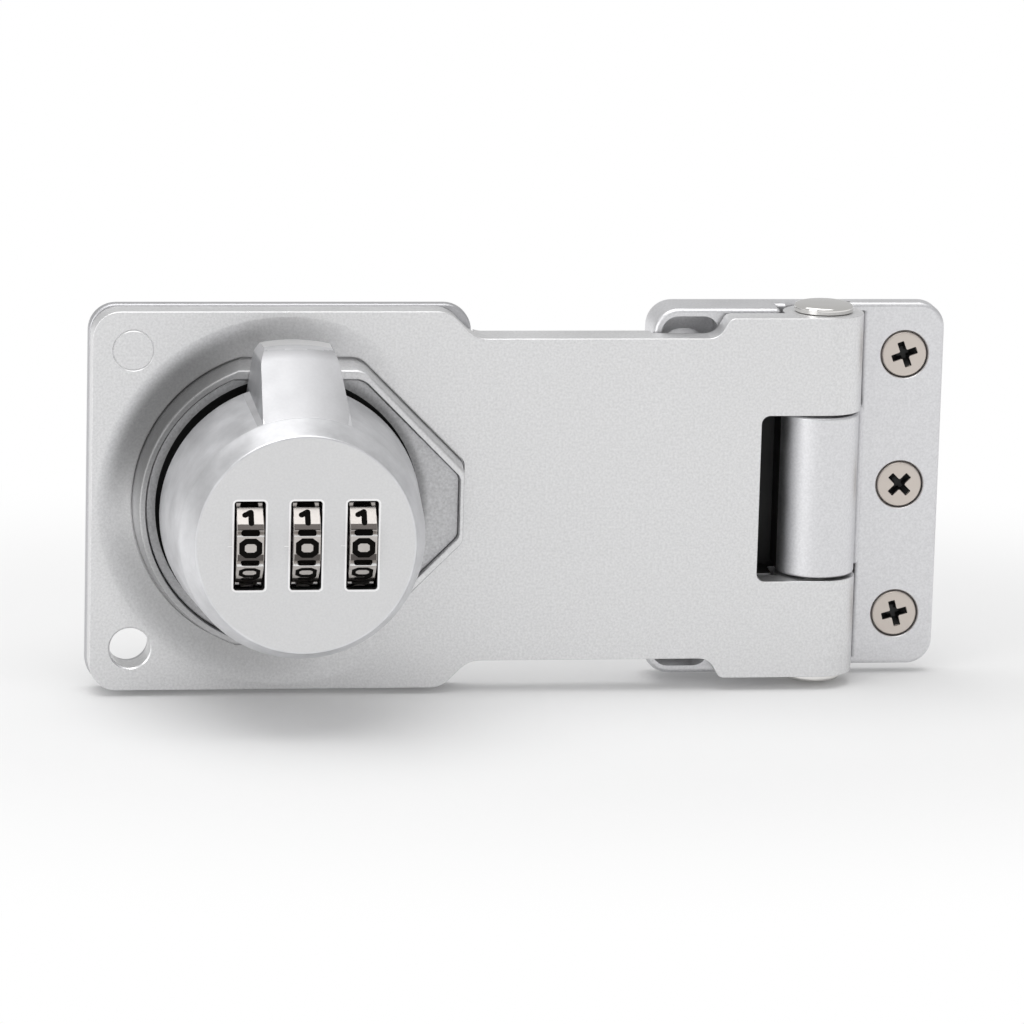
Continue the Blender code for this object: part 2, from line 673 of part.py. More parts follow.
def make_base():
    """The lock base: back plate, boss that fills the collar, bearing ring, hub bore and washer recess."""
    half = HASP_HEIGHT / 2 + BASE_OVERHANG
    left = KNOB_X - KNOB_TO_END - BASE_OVERHANG
    right = KNOB_X + BASE_RIGHT
    plate = slab("lock_base", rounded_outline(rectangle(left, right, -half, half, CORNER_R)),
                 BASE_BACK_H, BASE_TOP_H, EDGE_R / 2, 1)
    base = new_piece("lock_base", plate, HASP_AXIS, ZINC)
    inside = BASE_TOP_H - BASE_T / 2
    apply_tool(base, lofted("boss", [collar_outline(-GAP, inside), collar_outline(-GAP, BOSS_H)]), "UNION")
    axis = (KNOB_X, 0.0)
    apply_tool(base, disc("bearing_ring", BEARING_RING_R, inside, RING_H, axis), "UNION")
    apply_tool(base, disc("hub_bore", HUB_R + GAP, 0.0, RING_H + GAP, axis))
    apply_tool(base, disc("washer_recess", RECESS_R, 0.0, RECESS_H, axis))
    span_left = -HOLE_X
    span_right = BASE_RIGHT - (KNOB_TO_END - HOLE_X)
    for number, (x, y) in enumerate(((span_left, -HOLE_Y), (span_left, HOLE_Y),
                                     (span_right, -HOLE_Y), (span_right, HOLE_Y))):
        apply_tool(base, disc(f"screw_hole_{number + 1}", HOLE_R, 0.0, BASE_TOP_H + GAP, (KNOB_X + x, y), 32))
    cut_ramp(base)
    ball = ball_spot()
    apply_tool(base, disc("ball_pocket", BALL_R + GAP, ball_floor(), RING_H + GAP, ball, SMALL_STEPS))
    smooth_round(base)


def ball_spot(turn=0.0):
    """Place of the detent ball, or of the dimple that meets it once the knob has turned."""
    angle = BALL_ANGLE + turn
    return (KNOB_X + FOOT_ORBIT * math.cos(angle), FOOT_ORBIT * math.sin(angle))


def ball_floor():
    """Bottom of the ball's pocket."""
    return RING_H + BALL_SHOW - 2 * BALL_R - GAP - DETENT_SPRING_L - GAP


def make_detent():
    """Ball and spring that click the knob into its two positions."""
    x, y = ball_spot()
    work = bmesh.new()
    height = RING_H + BALL_SHOW - BALL_R
    bmesh.ops.create_uvsphere(work, u_segments=20, v_segments=12, radius=BALL_R,
                              matrix=Matrix.Translation((x, y, height)))
    mesh = bpy.data.meshes.new("detent_ball")
    work.to_mesh(mesh)
    work.free()
    smooth_round(new_piece("detent_ball", mesh, HASP_AXIS, STEEL))
    low = ball_floor() + GAP
    spring = coil("detent_spring", (x, y), DETENT_SPRING_R, DETENT_SPRING_WIRE, DETENT_SPRING_TURNS,
                  low, low + DETENT_SPRING_L)
    smooth_round(new_piece("detent_spring", spring, HASP_AXIS, SPRING_STEEL))


def lug_mesh():
    """The lug: a cone that falls from the knob's bevel, kept only where its plan outline stands."""
    low = 0.009
    beyond = LUG_REACH + 0.0003
    rings = []
    for height, draft in ((LUG_H, 0.0), (SHOULDER_H, LUG_DRAFT)):
        root = LUG_ROOT_W / 2 - draft
        tip = LUG_TIP_W / 2 - draft
        corners = [(-root, low, 0.0), (root, low, 0.0), (tip, beyond, LUG_CORNER_R), (-tip, beyond, LUG_CORNER_R)]
        rings.append([(KNOB_X + x, y, height) for x, y in rounded_outline(corners, 6)])
    return lofted("lug", rings)


def lug_profile():
    """Section of the turned shape that gives the lug its sloping front and crowned tip."""
    tip = LUG_H + LUG_TIP_H
    soft = 0.0012
    slope = Vector((LUG_REACH - KNOB_SHOULDER_R, tip - SHOULDER_H)).normalized() * soft
    return [(0.0, SHOULDER_H - SEAT), (KNOB_SHOULDER_R - SEAT, SHOULDER_H - SEAT),
            (LUG_REACH - slope.x, tip - slope.y), (LUG_REACH - soft * 0.35, tip - soft * 0.25),
            (LUG_REACH, tip - soft), (LUG_REACH, LUG_H + GAP), (LUG_REACH - GAP, LUG_H), (0.0, LUG_H)]


def make_lug():
    """The lug as a helper shape of its own, joined to the knob later."""
    lug = new_tool("lug_form", lug_mesh())
    apply_tool(lug, turned("slope", lug_profile(), (KNOB_X, 0.0), 72), "INTERSECT")
    return lug


def make_knob():
    """The knob: tapered drum with a bevelled face and a lug, hollow from behind for the dials."""
    axis = (KNOB_X, 0.0)
    foot = EDGE_R / 2
    profile = [(0.0, FACE_H), (KNOB_FACE_R - foot / 2, FACE_H), (KNOB_FACE_R, FACE_H - foot / 2),
               (KNOB_SHOULDER_R, SHOULDER_H), (KNOB_R, KNOB_H + foot), (KNOB_R - foot, KNOB_H), (0.0, KNOB_H)]
    knob = new_piece("knob_shell", turned("knob_shell", profile, axis, 72), KNOB_AXIS, ZINC)
    union = knob.modifiers.new("lug", "BOOLEAN")
    union.operation = "UNION"
    union.solver = "EXACT"
    union.object = make_lug()
    below = LUG_H - GAP
    inner = COVER_R + GAP
    apply_tool(knob, disc("cover_seat", inner, below, COVER_TOP_H + GAP, axis))
    x = KNOB_X
    apply_tool(knob, block("dial_chamber", x - CHAMBER_X, x + CHAMBER_X, -CHAMBER_Y, CHAMBER_Y, below, CHAMBER_H))
    apply_tool(knob, block("spring_bay", x - SPRING_BAY_X, x + SPRING_BAY_X, 0.0, SPRING_BAY_Y, below, CLICK_BAY_H))
    bay_x = ARM_HALF_X + 2 * GAP
    bay_y = FOOT_ORBIT + FOOT_R + 2 * GAP
    apply_tool(knob, block("arm_bay", x - bay_x, x + bay_x, -bay_y, 0.0, below,
                           FENCE_FRONT_H + FENCE_TRAVEL + GAP))
    foot_spot = (KNOB_X, -FOOT_ORBIT)
    pocket_r = FENCE_SPRING_R + FENCE_SPRING_WIRE + GAP
    apply_tool(knob, disc("spring_pocket", pocket_r, below, FENCE_FRONT_H + FENCE_SPRING_L + 2 * GAP,
                          foot_spot, SMALL_STEPS))
    seat = SPINDLE_R + GAP
    reach = CHAMBER_X + SPINDLE_SEAT
    apply_tool(knob, block("spindle_way", x - reach, x + reach, -seat, seat, below, DIAL_H))
    way_end = disc("spindle_seat", seat, -reach, reach, steps=SMALL_STEPS)
    apply_tool(knob, laid_along_x(way_end, x, 0.0, DIAL_H))
    for number, spot in enumerate(DIAL_SPOTS):
        half = SLOT_W / 2
        slot = rounded_outline(rectangle(x + spot - half, x + spot + half, -SLOT_H / 2, SLOT_H / 2, EDGE_R / 2), 3)
        apply_tool(knob, slab(f"slot_{number + 1}", slot, DIAL_H, FACE_H + GAP))
    for number, (dx, dy) in enumerate(COVER_SCREW_SPOTS):
        apply_tool(knob, disc(f"tapped_hole_{number + 1}", COVER_SCREW_R + GAP / 2, below,
                              COVER_H + COVER_SCREW_L + GAP, (x + dx, dy), 16))
    smooth_round(knob)


def make_cover():
    """The cover behind the knob: disc, hub that turns in the base, and two pillars that hold the spindle."""
    axis = (KNOB_X, 0.0)
    cover = new_piece("knob_cover", disc("knob_cover", COVER_R, COVER_H, COVER_TOP_H, axis), KNOB_AXIS, STEEL)
    apply_tool(cover, disc("hub", HUB_R, RECESS_H, COVER_H + COVER_T / 2, axis), "UNION")
    tapped = WASHER_H + RETAINER_LENGTH + GAP
    apply_tool(cover, disc("retainer_hole", RETAINER_SHANK_R + GAP / 2, 0.0, tapped, axis, SMALL_STEPS))
    for side in (-1, 1):
        middle = KNOB_X + side * (CHAMBER_X + SPINDLE_SEAT / 2)
        thick = SPINDLE_SEAT / 2 - GAP
        pillar = block(f"pillar_{side + 2}", middle - thick, middle + thick, -SPINDLE_R, SPINDLE_R,
                       COVER_H + COVER_T / 2, DIAL_H - SPINDLE_R - GAP)
        apply_tool(cover, pillar, "UNION")
    apply_tool(cover, disc("foot_hole", FOOT_R + GAP, 0.0, COVER_TOP_H + GAP, (KNOB_X, -FOOT_ORBIT), SMALL_STEPS))
    for number, (dx, dy) in enumerate(COVER_SCREW_SPOTS):
        seat = flat_head(COVER_SCREW_HEAD_R + GAP / 2, COVER_SCREW_CONE, COVER_SCREW_R + GAP / 2, GAP / 2,
                         -COVER_H + GAP / 2, -COVER_TOP_H - GAP)
        hole = turned(f"screw_seat_{number + 1}", seat, steps=20)
        hole.transform(Matrix.Translation((KNOB_X + dx, dy, 0.0)) @ Matrix.Rotation(math.pi, 4, "X"))
        apply_tool(cover, hole)
    for number, turn in enumerate((0.0, QUARTER_TURN)):
        x, y = ball_spot(turn)
        dimple = [(0.0, COVER_H + DIMPLE_DEPTH), (BALL_R / 2, COVER_H + DIMPLE_DEPTH),
                  (BALL_R, COVER_H - GAP), (0.0, COVER_H - GAP)]
        apply_tool(cover, turned(f"dimple_{number + 1}", dimple, (x, y), 16))
    smooth_round(cover)


def make_cover_screws():
    """Three small countersunk screws that hold the cover."""
    for number, (dx, dy) in enumerate(COVER_SCREW_SPOTS):
        name = f"cover_screw_{number + 1}"
        profile = flat_head(COVER_SCREW_HEAD_R, COVER_SCREW_CONE, COVER_SCREW_R, SEAT, 0.0, -COVER_SCREW_L)
        mesh = turned(name, profile, steps=20)
        mesh.transform(Matrix.Translation((KNOB_X + dx, dy, COVER_H)) @ Matrix.Rotation(math.pi, 4, "X"))
        smooth_round(new_piece(name, mesh, KNOB_AXIS, STEEL))


def make_retainer():
    """Washer and screw that keep the knob's hub in the base."""
    axis = (KNOB_X, 0.0)
    top = WASHER_H + WASHER_T
    hole = RETAINER_SHANK_R + GAP / 2
    ring = [(hole, top), (WASHER_R, top), (WASHER_R, WASHER_H), (hole, WASHER_H)]
    smooth_round(new_piece("retaining_washer", turned("retaining_washer", ring, axis), KNOB_AXIS, STEEL))
    under = WASHER_H - SEAT
    low = under - RETAINER_HEAD_H
    soft = RETAINER_HEAD_H / 3
    profile = [(0.0, WASHER_H + RETAINER_LENGTH), (RETAINER_SHANK_R, WASHER_H + RETAINER_LENGTH),
               (RETAINER_SHANK_R, under), (RETAINER_HEAD_R, under), (RETAINER_HEAD_R, low + soft),
               (RETAINER_HEAD_R - soft, low), (0.0, low)]
    screw = new_piece("retaining_screw", turned("retaining_screw", profile, axis, 32), KNOB_AXIS, STEEL)
    cut_cross(screw, axis, low, 0.0)
    smooth_round(screw)


def dial_outline():
    """Ten flats with a shallow groove between each two, round the dial's own axis."""
    groove = GROOVE_W / 2
    points = []
    for side in range(DIAL_SIDES):
        corner = math.tau * (side + 0.5) / DIAL_SIDES
        before = corner - math.pi / DIAL_SIDES
        after = corner + math.pi / DIAL_SIDES
        half_side = DIAL_R * math.sin(math.pi / DIAL_SIDES) - groove
        for middle, sign in ((before, 1), (after, -1)):
            flat = Vector((math.cos(middle), math.sin(middle))) * DIAL_FLAT_R
            along = Vector((-math.sin(middle), math.cos(middle))) * half_side * sign
            if sign == 1:
                points.append(tuple(flat + along))
                bottom = DIAL_R - groove * math.sin(math.pi / DIAL_SIDES) - GROOVE_DEPTH
                points.append((bottom * math.cos(corner), bottom * math.sin(corner)))
            else:
                points.append(tuple(flat + along))
    return points


def make_dials():
    """Three number wheels, each with its clutch sleeve."""
    for index, spot in enumerate(DIAL_SPOTS):
        x = KNOB_X + spot
        name = f"dial_wheel_{index + 1}"
        mesh = laid_along_x(slab(name, dial_outline(), -DIAL_W / 2, DIAL_W / 2), x, 0.0, DIAL_H)
        wheel = new_piece(name, mesh, DIAL_AXES[index], BRIGHT)
        bore = disc("bore", DIAL_BORE_R, -DIAL_W, DIAL_W, steps=SMALL_STEPS)
        apply_tool(wheel, laid_along_x(bore, x, 0.0, DIAL_H))
        make_sleeve(index, x)


def make_sleeve(index, x):
    """Flanged sleeve inside a wheel. Its gate faces the fence at number 0, and a second one is half a turn on."""
    hole = SPINDLE_R + GAP
    near = SLEEVE_FLANGE_X
    far = near + SLEEVE_FLANGE_T
    profile = [(SLEEVE_FLANGE_R, far), (SLEEVE_FLANGE_R, near), (SLEEVE_HUB_R, near),
               (SLEEVE_HUB_R, -DIAL_W / 2), (hole, -DIAL_W / 2), (hole, far)]
    name = f"clutch_sleeve_{index + 1}"
    mesh = laid_along_x(turned(name, profile, steps=32), x, 0.0, DIAL_H)
    sleeve = new_piece(name, mesh, DIAL_AXES[index], BRASS)
    for rim in (DIAL_H - SLEEVE_FLANGE_R, DIAL_H + SLEEVE_FLANGE_R):
        apply_tool(sleeve, block("gate", x + near - GAP / 2, x + far + GAP, -GATE_W / 2, GATE_W / 2,
                                 rim - GATE_DEPTH, rim + GATE_DEPTH))
    smooth_round(sleeve)


def make_spindle():
    """The shaft that the dials turn on."""
    reach = CHAMBER_X + SPINDLE_SEAT - GAP
    mesh = laid_along_x(disc("dial_spindle", SPINDLE_R, -reach, reach, steps=SMALL_STEPS), KNOB_X, 0.0, DIAL_H)
    smooth_round(new_piece("dial_spindle", mesh, KNOB_AXIS, STEEL))


def make_click_spring():
    """Leaf spring with one finger behind each wheel."""
    high = CLICK_BAY_H - GAP
    low = high - CLICK_T
    top = SPRING_BAY_Y - GAP
    bottom = top - CLICK_BAR_H
    side = SPRING_BAY_X - GAP
    corners = [(KNOB_X - side, bottom, 0.0)]
    for spot in DIAL_SPOTS:
        half = CLICK_FINGER_W / 2
        x = KNOB_X + spot
        corners += [(x - half, bottom, 0.0), (x - half, CLICK_TIP_Y, half / 2),
                    (x + half, CLICK_TIP_Y, half / 2), (x + half, bottom, 0.0)]
    corners += [(KNOB_X + side, bottom, 0.0), (KNOB_X + side, top, 0.0), (KNOB_X - side, top, 0.0)]
    mesh = slab("click_spring", rounded_outline(corners, 3), low, high)
    new_piece("click_spring", mesh, KNOB_AXIS, SPRING_STEEL)


def make_fence():
    """Comb that enters the sleeves' gates, with an arm and a foot that ride the ramp in the base."""
    low = FENCE_FRONT_H - FENCE_T
    x = KNOB_X
    spine = block("locking_fence", x - FENCE_HALF_X, x + FENCE_HALF_X, -FENCE_HALF_Y, FENCE_HALF_Y,
                  low, FENCE_FRONT_H)
    fence = new_piece("locking_fence", spine, FENCE_AXIS, STEEL)
    arm_end = -FOOT_ORBIT - FOOT_R
    apply_tool(fence, block("arm", x - ARM_HALF_X, x + ARM_HALF_X, arm_end, 0.0, low + SEAT,
                            FENCE_FRONT_H - SEAT), "UNION")
    foot = disc("foot", FOOT_R - SEAT, FOOT_H, low + FENCE_T / 2, (x, -FOOT_ORBIT), SMALL_STEPS)
    apply_tool(fence, foot, "UNION")
    for number, spot in enumerate(DIAL_SPOTS):
        middle = x + spot + SLEEVE_FLANGE_X + SLEEVE_FLANGE_T / 2
        blade = block(f"blade_{number + 1}", middle - BLADE_T / 2, middle + BLADE_T / 2,
                      -BLADE_HALF_Y, BLADE_HALF_Y, low + FENCE_T / 2, BLADE_TIP_H)
        apply_tool(fence, blade, "UNION")


def make_fence_spring():
    """Coil that pushes the fence's foot onto the ramp."""
    low = FENCE_FRONT_H + GAP
    mesh = coil("fence_spring", (KNOB_X, -FOOT_ORBIT), FENCE_SPRING_R, FENCE_SPRING_WIRE, FENCE_SPRING_TURNS,
                low, FENCE_FRONT_H + FENCE_SPRING_L + GAP)
    smooth_round(new_piece("fence_spring", mesh, KNOB_AXIS, SPRING_STEEL))


make_leaf()
make_pin()
make_leaf_screws()
make_hasp()
make_base()
make_detent()
make_knob()
make_cover()
make_cover_screws()
make_retainer()
make_spindle()
make_dials()
make_click_spring()
make_fence()
make_fence_spring()
bpy.context.view_layer.update()
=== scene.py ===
"""Dressed scene of a locking hasp with a three-dial turn knob.

Each casting is rebuilt here with its soft cast edges over the fixed CAD frame. Shapes are drawn in millimetres,
lying on their backs: x to the right, y towards the top and z, here called height, towards the viewer. They are
stood up and brought to metres when they are finished.
"""
from __future__ import annotations

import json
import logging
import math
from dataclasses import dataclass
from enum import Enum
from typing import Callable, Iterable, Sequence

import bmesh
import bpy
from mathutils import Matrix, Vector

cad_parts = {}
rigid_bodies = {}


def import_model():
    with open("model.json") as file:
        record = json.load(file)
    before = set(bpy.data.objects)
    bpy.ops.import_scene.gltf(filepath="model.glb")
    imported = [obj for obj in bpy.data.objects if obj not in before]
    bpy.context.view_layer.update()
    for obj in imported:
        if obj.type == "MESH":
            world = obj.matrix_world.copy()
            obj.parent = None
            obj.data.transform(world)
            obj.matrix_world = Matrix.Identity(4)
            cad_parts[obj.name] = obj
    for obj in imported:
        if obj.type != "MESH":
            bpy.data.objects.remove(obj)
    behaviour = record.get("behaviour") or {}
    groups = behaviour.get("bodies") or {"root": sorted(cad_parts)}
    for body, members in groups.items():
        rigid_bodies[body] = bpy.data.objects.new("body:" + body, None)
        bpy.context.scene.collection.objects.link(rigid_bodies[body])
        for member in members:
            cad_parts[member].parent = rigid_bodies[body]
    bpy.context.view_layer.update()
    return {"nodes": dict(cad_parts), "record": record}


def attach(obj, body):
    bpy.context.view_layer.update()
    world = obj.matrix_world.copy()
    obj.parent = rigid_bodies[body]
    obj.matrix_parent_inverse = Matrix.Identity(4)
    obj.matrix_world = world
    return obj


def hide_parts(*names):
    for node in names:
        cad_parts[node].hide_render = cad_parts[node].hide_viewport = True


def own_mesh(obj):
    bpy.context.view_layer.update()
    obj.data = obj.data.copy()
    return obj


for leftover in list(bpy.data.objects):
    bpy.data.objects.remove(leftover, do_unlink=True)
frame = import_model()

LOG = logging.getLogger("locking_hasp")
# A point has x and y, a corner its radius too, and a place its height too
Point = tuple[float, float]
Corner = tuple[float, float, float]
Place = tuple[float, float, float]
MM = 0.001
STAND_UP = Matrix.Rotation(math.pi / 2, 4, "X") @ Matrix.Scale(MM, 4)
QUARTER = math.pi / 2
KNOB_X = -63.45
NOISE_SPAN: Point = (0.3, 0.7)
SEAM = 0.002


class Operation(Enum):
    """What a tool does to a solid."""

    CUT = "DIFFERENCE"
    JOIN = "UNION"
    KEEP = "INTERSECT"


def arc(center: Point, radius: float, start: float, end: float, steps: int) -> list[Point]:
    """Points along an arc.

    Args:
        center: middle of the arc.
        radius: its radius.
        start: first angle in radians.
        end: last angle in radians.
        steps: number of chords.

    Returns:
        The points, both ends included.
    """
    return [(center[0] + radius * math.cos(start + (end - start) * index / steps),
             center[1] + radius * math.sin(start + (end - start) * index / steps))
            for index in range(steps + 1)]


def rounded(corners: Sequence[Corner], steps: int = 10) -> list[Point]:
    """Outline through corners, with an arc at each corner that has a radius.

    Args:
        corners: x, y and corner radius of each corner, in order.
        steps: chords in each arc.

    Returns:
        The points of the outline.
    """
    points: list[Point] = []
    for index, (x, y, radius) in enumerate(corners):
        here = Vector((x, y))
        if radius == 0:
            points.append((x, y))
            continue
        back = (Vector(corners[index - 1][:2]) - here).normalized()
        ahead = (Vector(corners[(index + 1) % len(corners)][:2]) - here).normalized()
        half = back.angle(ahead) / 2
        center = here + (back + ahead).normalized() * radius / math.sin(half)
        first = here + back * radius / math.tan(half) - center
        last = here + ahead * radius / math.tan(half) - center
        start = math.atan2(first.y, first.x)
        sweep = (math.atan2(last.y, last.x) - start + math.pi) % math.tau - math.pi
        points += arc((center.x, center.y), radius, start, start + sweep, steps)
    return points


def rectangle(left: float, right: float, bottom: float, top: float, radius: float = 0.0) -> list[Corner]:
    """Corners of a rectangle that are all rounded alike."""
    return [(left, bottom, radius), (right, bottom, radius), (right, top, radius), (left, top, radius)]


def mirrored(lower: Sequence[Corner]) -> list[Corner]:
    """A lower half followed by its mirror image above."""
    return list(lower) + [(x, -y, radius) for x, y, radius in reversed(lower)]


def level(outline: Iterable[Point], height: float, center: Point = (0.0, 0.0)) -> list[Place]:
    """An outline drawn round a center at a height."""
    return [(center[0] + x, center[1] + y, height) for x, y in outline]


def linked(name: str, data: bpy.types.ID) -> bpy.types.Object:
    """A new object that is in the scene."""
    item = bpy.data.objects.new(name, data)
    bpy.context.scene.collection.objects.link(item)
    return item


def to_mesh(work: bmesh.types.BMesh, name: str) -> bpy.types.Mesh:
    """Closes a bmesh into a new mesh with its faces pointing outwards.

    Args:
        work: the bmesh, which is freed.
        name: name of the mesh.

    Returns:
        The mesh.
    """
    bmesh.ops.recalc_face_normals(work, faces=work.faces)
    mesh = bpy.data.meshes.new(name)
    work.to_mesh(mesh)
    work.free()
    return mesh


def lofted(rings: Sequence[Sequence[Sequence[float]]], closed: bool = False) -> bpy.types.Mesh:
    """A loft through rings of points.

    Args:
        rings: loops of as many points each.
        closed: joins the last loop to the first instead of capping both.

    Returns:
        A closed mesh.
    """
    work = bmesh.new()
    loops = [[work.verts.new(point) for point in ring] for ring in rings]
    pairs = list(zip(loops, loops[1:])) + ([(loops[-1], loops[0])] if closed else [])
    for lower, upper in pairs:
        for index, vertex in enumerate(lower):
            after = (index + 1) % len(lower)
            work.faces.new((vertex, lower[after], upper[after], upper[index]))
    if not closed:
        work.faces.new(list(reversed(loops[0])))
        work.faces.new(loops[-1])
    return to_mesh(work, "loft")


def turned(profile: Sequence[Point], center: Point = (0.0, 0.0), steps: int = 96) -> bpy.types.Mesh:
    """A turned shape.

    Args:
        profile: radius and height of each point down the outer side. It closes on the axis if it starts there,
            and on itself otherwise.
        center: where the axis stands.
        steps: chords round the axis.

    Returns:
        A closed mesh.
    """
    work = bmesh.new()
    columns = []
    for radius, height in profile:
        if radius == 0:
            columns.append([work.verts.new((center[0], center[1], height))])
            continue
        columns.append([work.verts.new((x, y, height)) for x, y in arc(center, radius, 0.0, math.tau, steps)[:-1]])
    pairs = list(zip(columns, columns[1:])) + ([(columns[-1], columns[0])] if profile[0][0] > 0 else [])
    for upper, lower in pairs:
        for index in range(steps):
            after = (index + 1) % steps
            loop = (upper[index % len(upper)], upper[after % len(upper)],
                    lower[after % len(lower)], lower[index % len(lower)])
            corners = list(dict.fromkeys(loop))
            if len(corners) > 2:
                work.faces.new(corners)
    return to_mesh(work, "turned")


def disc(radius: float, low: float, high: float, center: Point = (0.0, 0.0), steps: int = 96) -> bpy.types.Mesh:
    """A round bar between two heights."""
    return turned([(0.0, high), (radius, high), (radius, low), (0.0, low)], center, steps)


def prism(outline: Sequence[Point], low: float, high: float) -> bpy.types.Mesh:
    """An outline drawn straight up between two heights."""
    return lofted([level(outline, height) for height in (low, high)])


def block(left: float, right: float, bottom: float, top: float, low: float, high: float) -> bpy.types.Mesh:
    """A box between six planes."""
    return prism(rounded(rectangle(left, right, bottom, top)), low, high)


def slab(outlines: Sequence[Sequence[Point]], low: float, high: float, edge: float = 0.0) -> bpy.types.Mesh:
    """A flat plate with rounded rims.

    Args:
        outlines: the outer outline and any holes in it.
        low: lower height.
        high: upper height.
        edge: radius of the rims.

    Returns:
        A closed mesh.
    """
    curve = bpy.data.curves.new("slab", "CURVE")
    curve.dimensions = "2D"
    curve.fill_mode = "BOTH"
    curve.extrude = (high - low) / 2 - edge
    curve.bevel_depth = edge
    curve.bevel_resolution = 3
    curve.offset = -edge
    for outline in outlines:
        spline = curve.splines.new("POLY")
        spline.points.add(len(outline) - 1)
        for point, (x, y) in zip(spline.points, outline):
            point.co = (x, y, 0.0, 1.0)
        spline.use_cyclic_u = True
    mesh = evaluated(bpy.data.objects.new("slab", curve))
    bpy.data.curves.remove(curve)
    mesh.transform(Matrix.Translation((0.0, 0.0, (low + high) / 2)))
    return welded(mesh)


def welded(mesh: bpy.types.Mesh, distance: float = 1e-4) -> bpy.types.Mesh:
    """Merges the seams of a mesh and points its faces outwards."""
    work = bmesh.new()
    work.from_mesh(mesh)
    bmesh.ops.remove_doubles(work, verts=work.verts, dist=distance)
    bmesh.ops.dissolve_degenerate(work, edges=work.edges, dist=distance)
    bmesh.ops.recalc_face_normals(work, faces=work.faces)
    work.to_mesh(mesh)
    work.free()
    return mesh


def joined(meshes: Sequence[bpy.types.Mesh]) -> bpy.types.Mesh:
    """Puts meshes that don't touch into one.

    Args:
        meshes: the meshes.

    Returns:
        One mesh.
    """
    work = bmesh.new()
    for mesh in meshes:
        work.from_mesh(mesh)
    return to_mesh(work, "joined")


def evaluated(source: bpy.types.Object) -> bpy.types.Mesh:
    """The plain mesh that an object shows.

    Args:
        source: an unlinked object, which is removed.

    Returns:
        Its mesh with all modifiers worked out.
    """
    bpy.context.scene.collection.objects.link(source)
    bpy.context.view_layer.update()
    mesh = bpy.data.meshes.new_from_object(source.evaluated_get(bpy.context.evaluated_depsgraph_get()))
    bpy.data.objects.remove(source)
    return mesh


def laid_along_x(mesh: bpy.types.Mesh, place: Sequence[float]) -> bpy.types.Mesh:
    """Turns a mesh that stands on the bench so that its axis lies along x through a place."""
    mesh.transform(Matrix.Translation(place) @ Matrix.Rotation(QUARTER, 4, "Y"))
    return mesh


def laid_along_y(mesh: bpy.types.Mesh, height: float) -> bpy.types.Mesh:
    """Turns a mesh that stands on the bench so that its axis lies along y at a height."""
    mesh.transform(Matrix.Translation((0.0, 0.0, height)) @ Matrix.Rotation(QUARTER, 4, "X"))
    return mesh


class Solid:
    """A closed mesh that can be cut, joined and rounded, and then stood up as a piece of the scene."""

    def __init__(self, mesh: bpy.types.Mesh) -> None:
        """Starts from a closed mesh."""
        self.mesh = mesh

    def _apply(self, kind: str, **settings: object) -> Solid:
        """Works out one modifier.

        Args:
            kind: its type.
            settings: its properties.

        Returns:
            This solid.
        """
        holder = bpy.data.objects.new("work", self.mesh)
        modifier = holder.modifiers.new(kind.lower(), kind)
        for key, value in settings.items():
            setattr(modifier, key, value)
        self.mesh = evaluated(holder)
        return self

    def combine(self, tool: bpy.types.Mesh, operation: Operation) -> Solid:
        """Cuts, joins or intersects with a tool.

        Args:
            tool: closed mesh of the tool.
            operation: what it does.

        Returns:
            This solid.
        """
        other = linked("tool", tool)
        self._apply("BOOLEAN", operation=operation.value, solver="EXACT", object=other)
        bpy.data.objects.remove(other)
        return self

    def cut(self, *tools: bpy.types.Mesh) -> Solid:
        """Cuts tools away."""
        for tool in tools:
            self.combine(tool, Operation.CUT)
        return self

    def join(self, *tools: bpy.types.Mesh) -> Solid:
        """Joins tools on."""
        for tool in tools:
            self.combine(tool, Operation.JOIN)
        return self

    def keep(self, tool: bpy.types.Mesh) -> Solid:
        """Keeps only what lies in a tool."""
        return self.combine(tool, Operation.KEEP)

    def round_edges(self, width: float, segments: int = 3, angle: float = 50.0) -> Solid:
        """Rounds the edges that turn by more than an angle.

        Args:
            width: width of the rounding.
            segments: faces across it.
            angle: the angle in degrees.

        Returns:
            This solid.
        """
        welded(self.mesh)
        return self._apply("BEVEL", width=width, segments=segments, limit_method="ANGLE",
                           angle_limit=math.radians(angle))

    def finish(self, name: str, material: bpy.types.Material, smooth: float = 32.0) -> bpy.types.Object:
        """Stands the solid up as a piece with even shading.

        Args:
            name: name of the piece.
            material: its finish.
            smooth: edges that turn by more than this, in degrees, stay sharp.

        Returns:
            The piece.
        """
        welded(self.mesh)
        self.mesh.shade_smooth()
        self.mesh.set_sharp_from_angle(angle=math.radians(smooth))
        self._apply("WEIGHTED_NORMAL", keep_sharp=True, weight=100)
        self.mesh.transform(STAND_UP)
        self.mesh.name = name
        self.mesh.materials.clear()
        self.mesh.materials.append(material)
        return linked(name, self.mesh)


def place(piece: bpy.types.Object, body: str, slot: str, nodes: Iterable[str] = ()) -> bpy.types.Object:
    """Hangs a piece on its body and hides the CAD nodes that it stands for.

    Args:
        piece: the finished piece.
        body: name of the CAD body that it rides on.
        slot: the record's material slot; not used.
        nodes: CAD nodes that it replaces.

    Returns:
        The piece.
    """
    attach(piece, body)
    names = list(nodes)
    if names:
        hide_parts(*names)
    LOG.info("%s rides on %s: %d faces", piece.name, body, len(piece.data.polygons))
    return piece


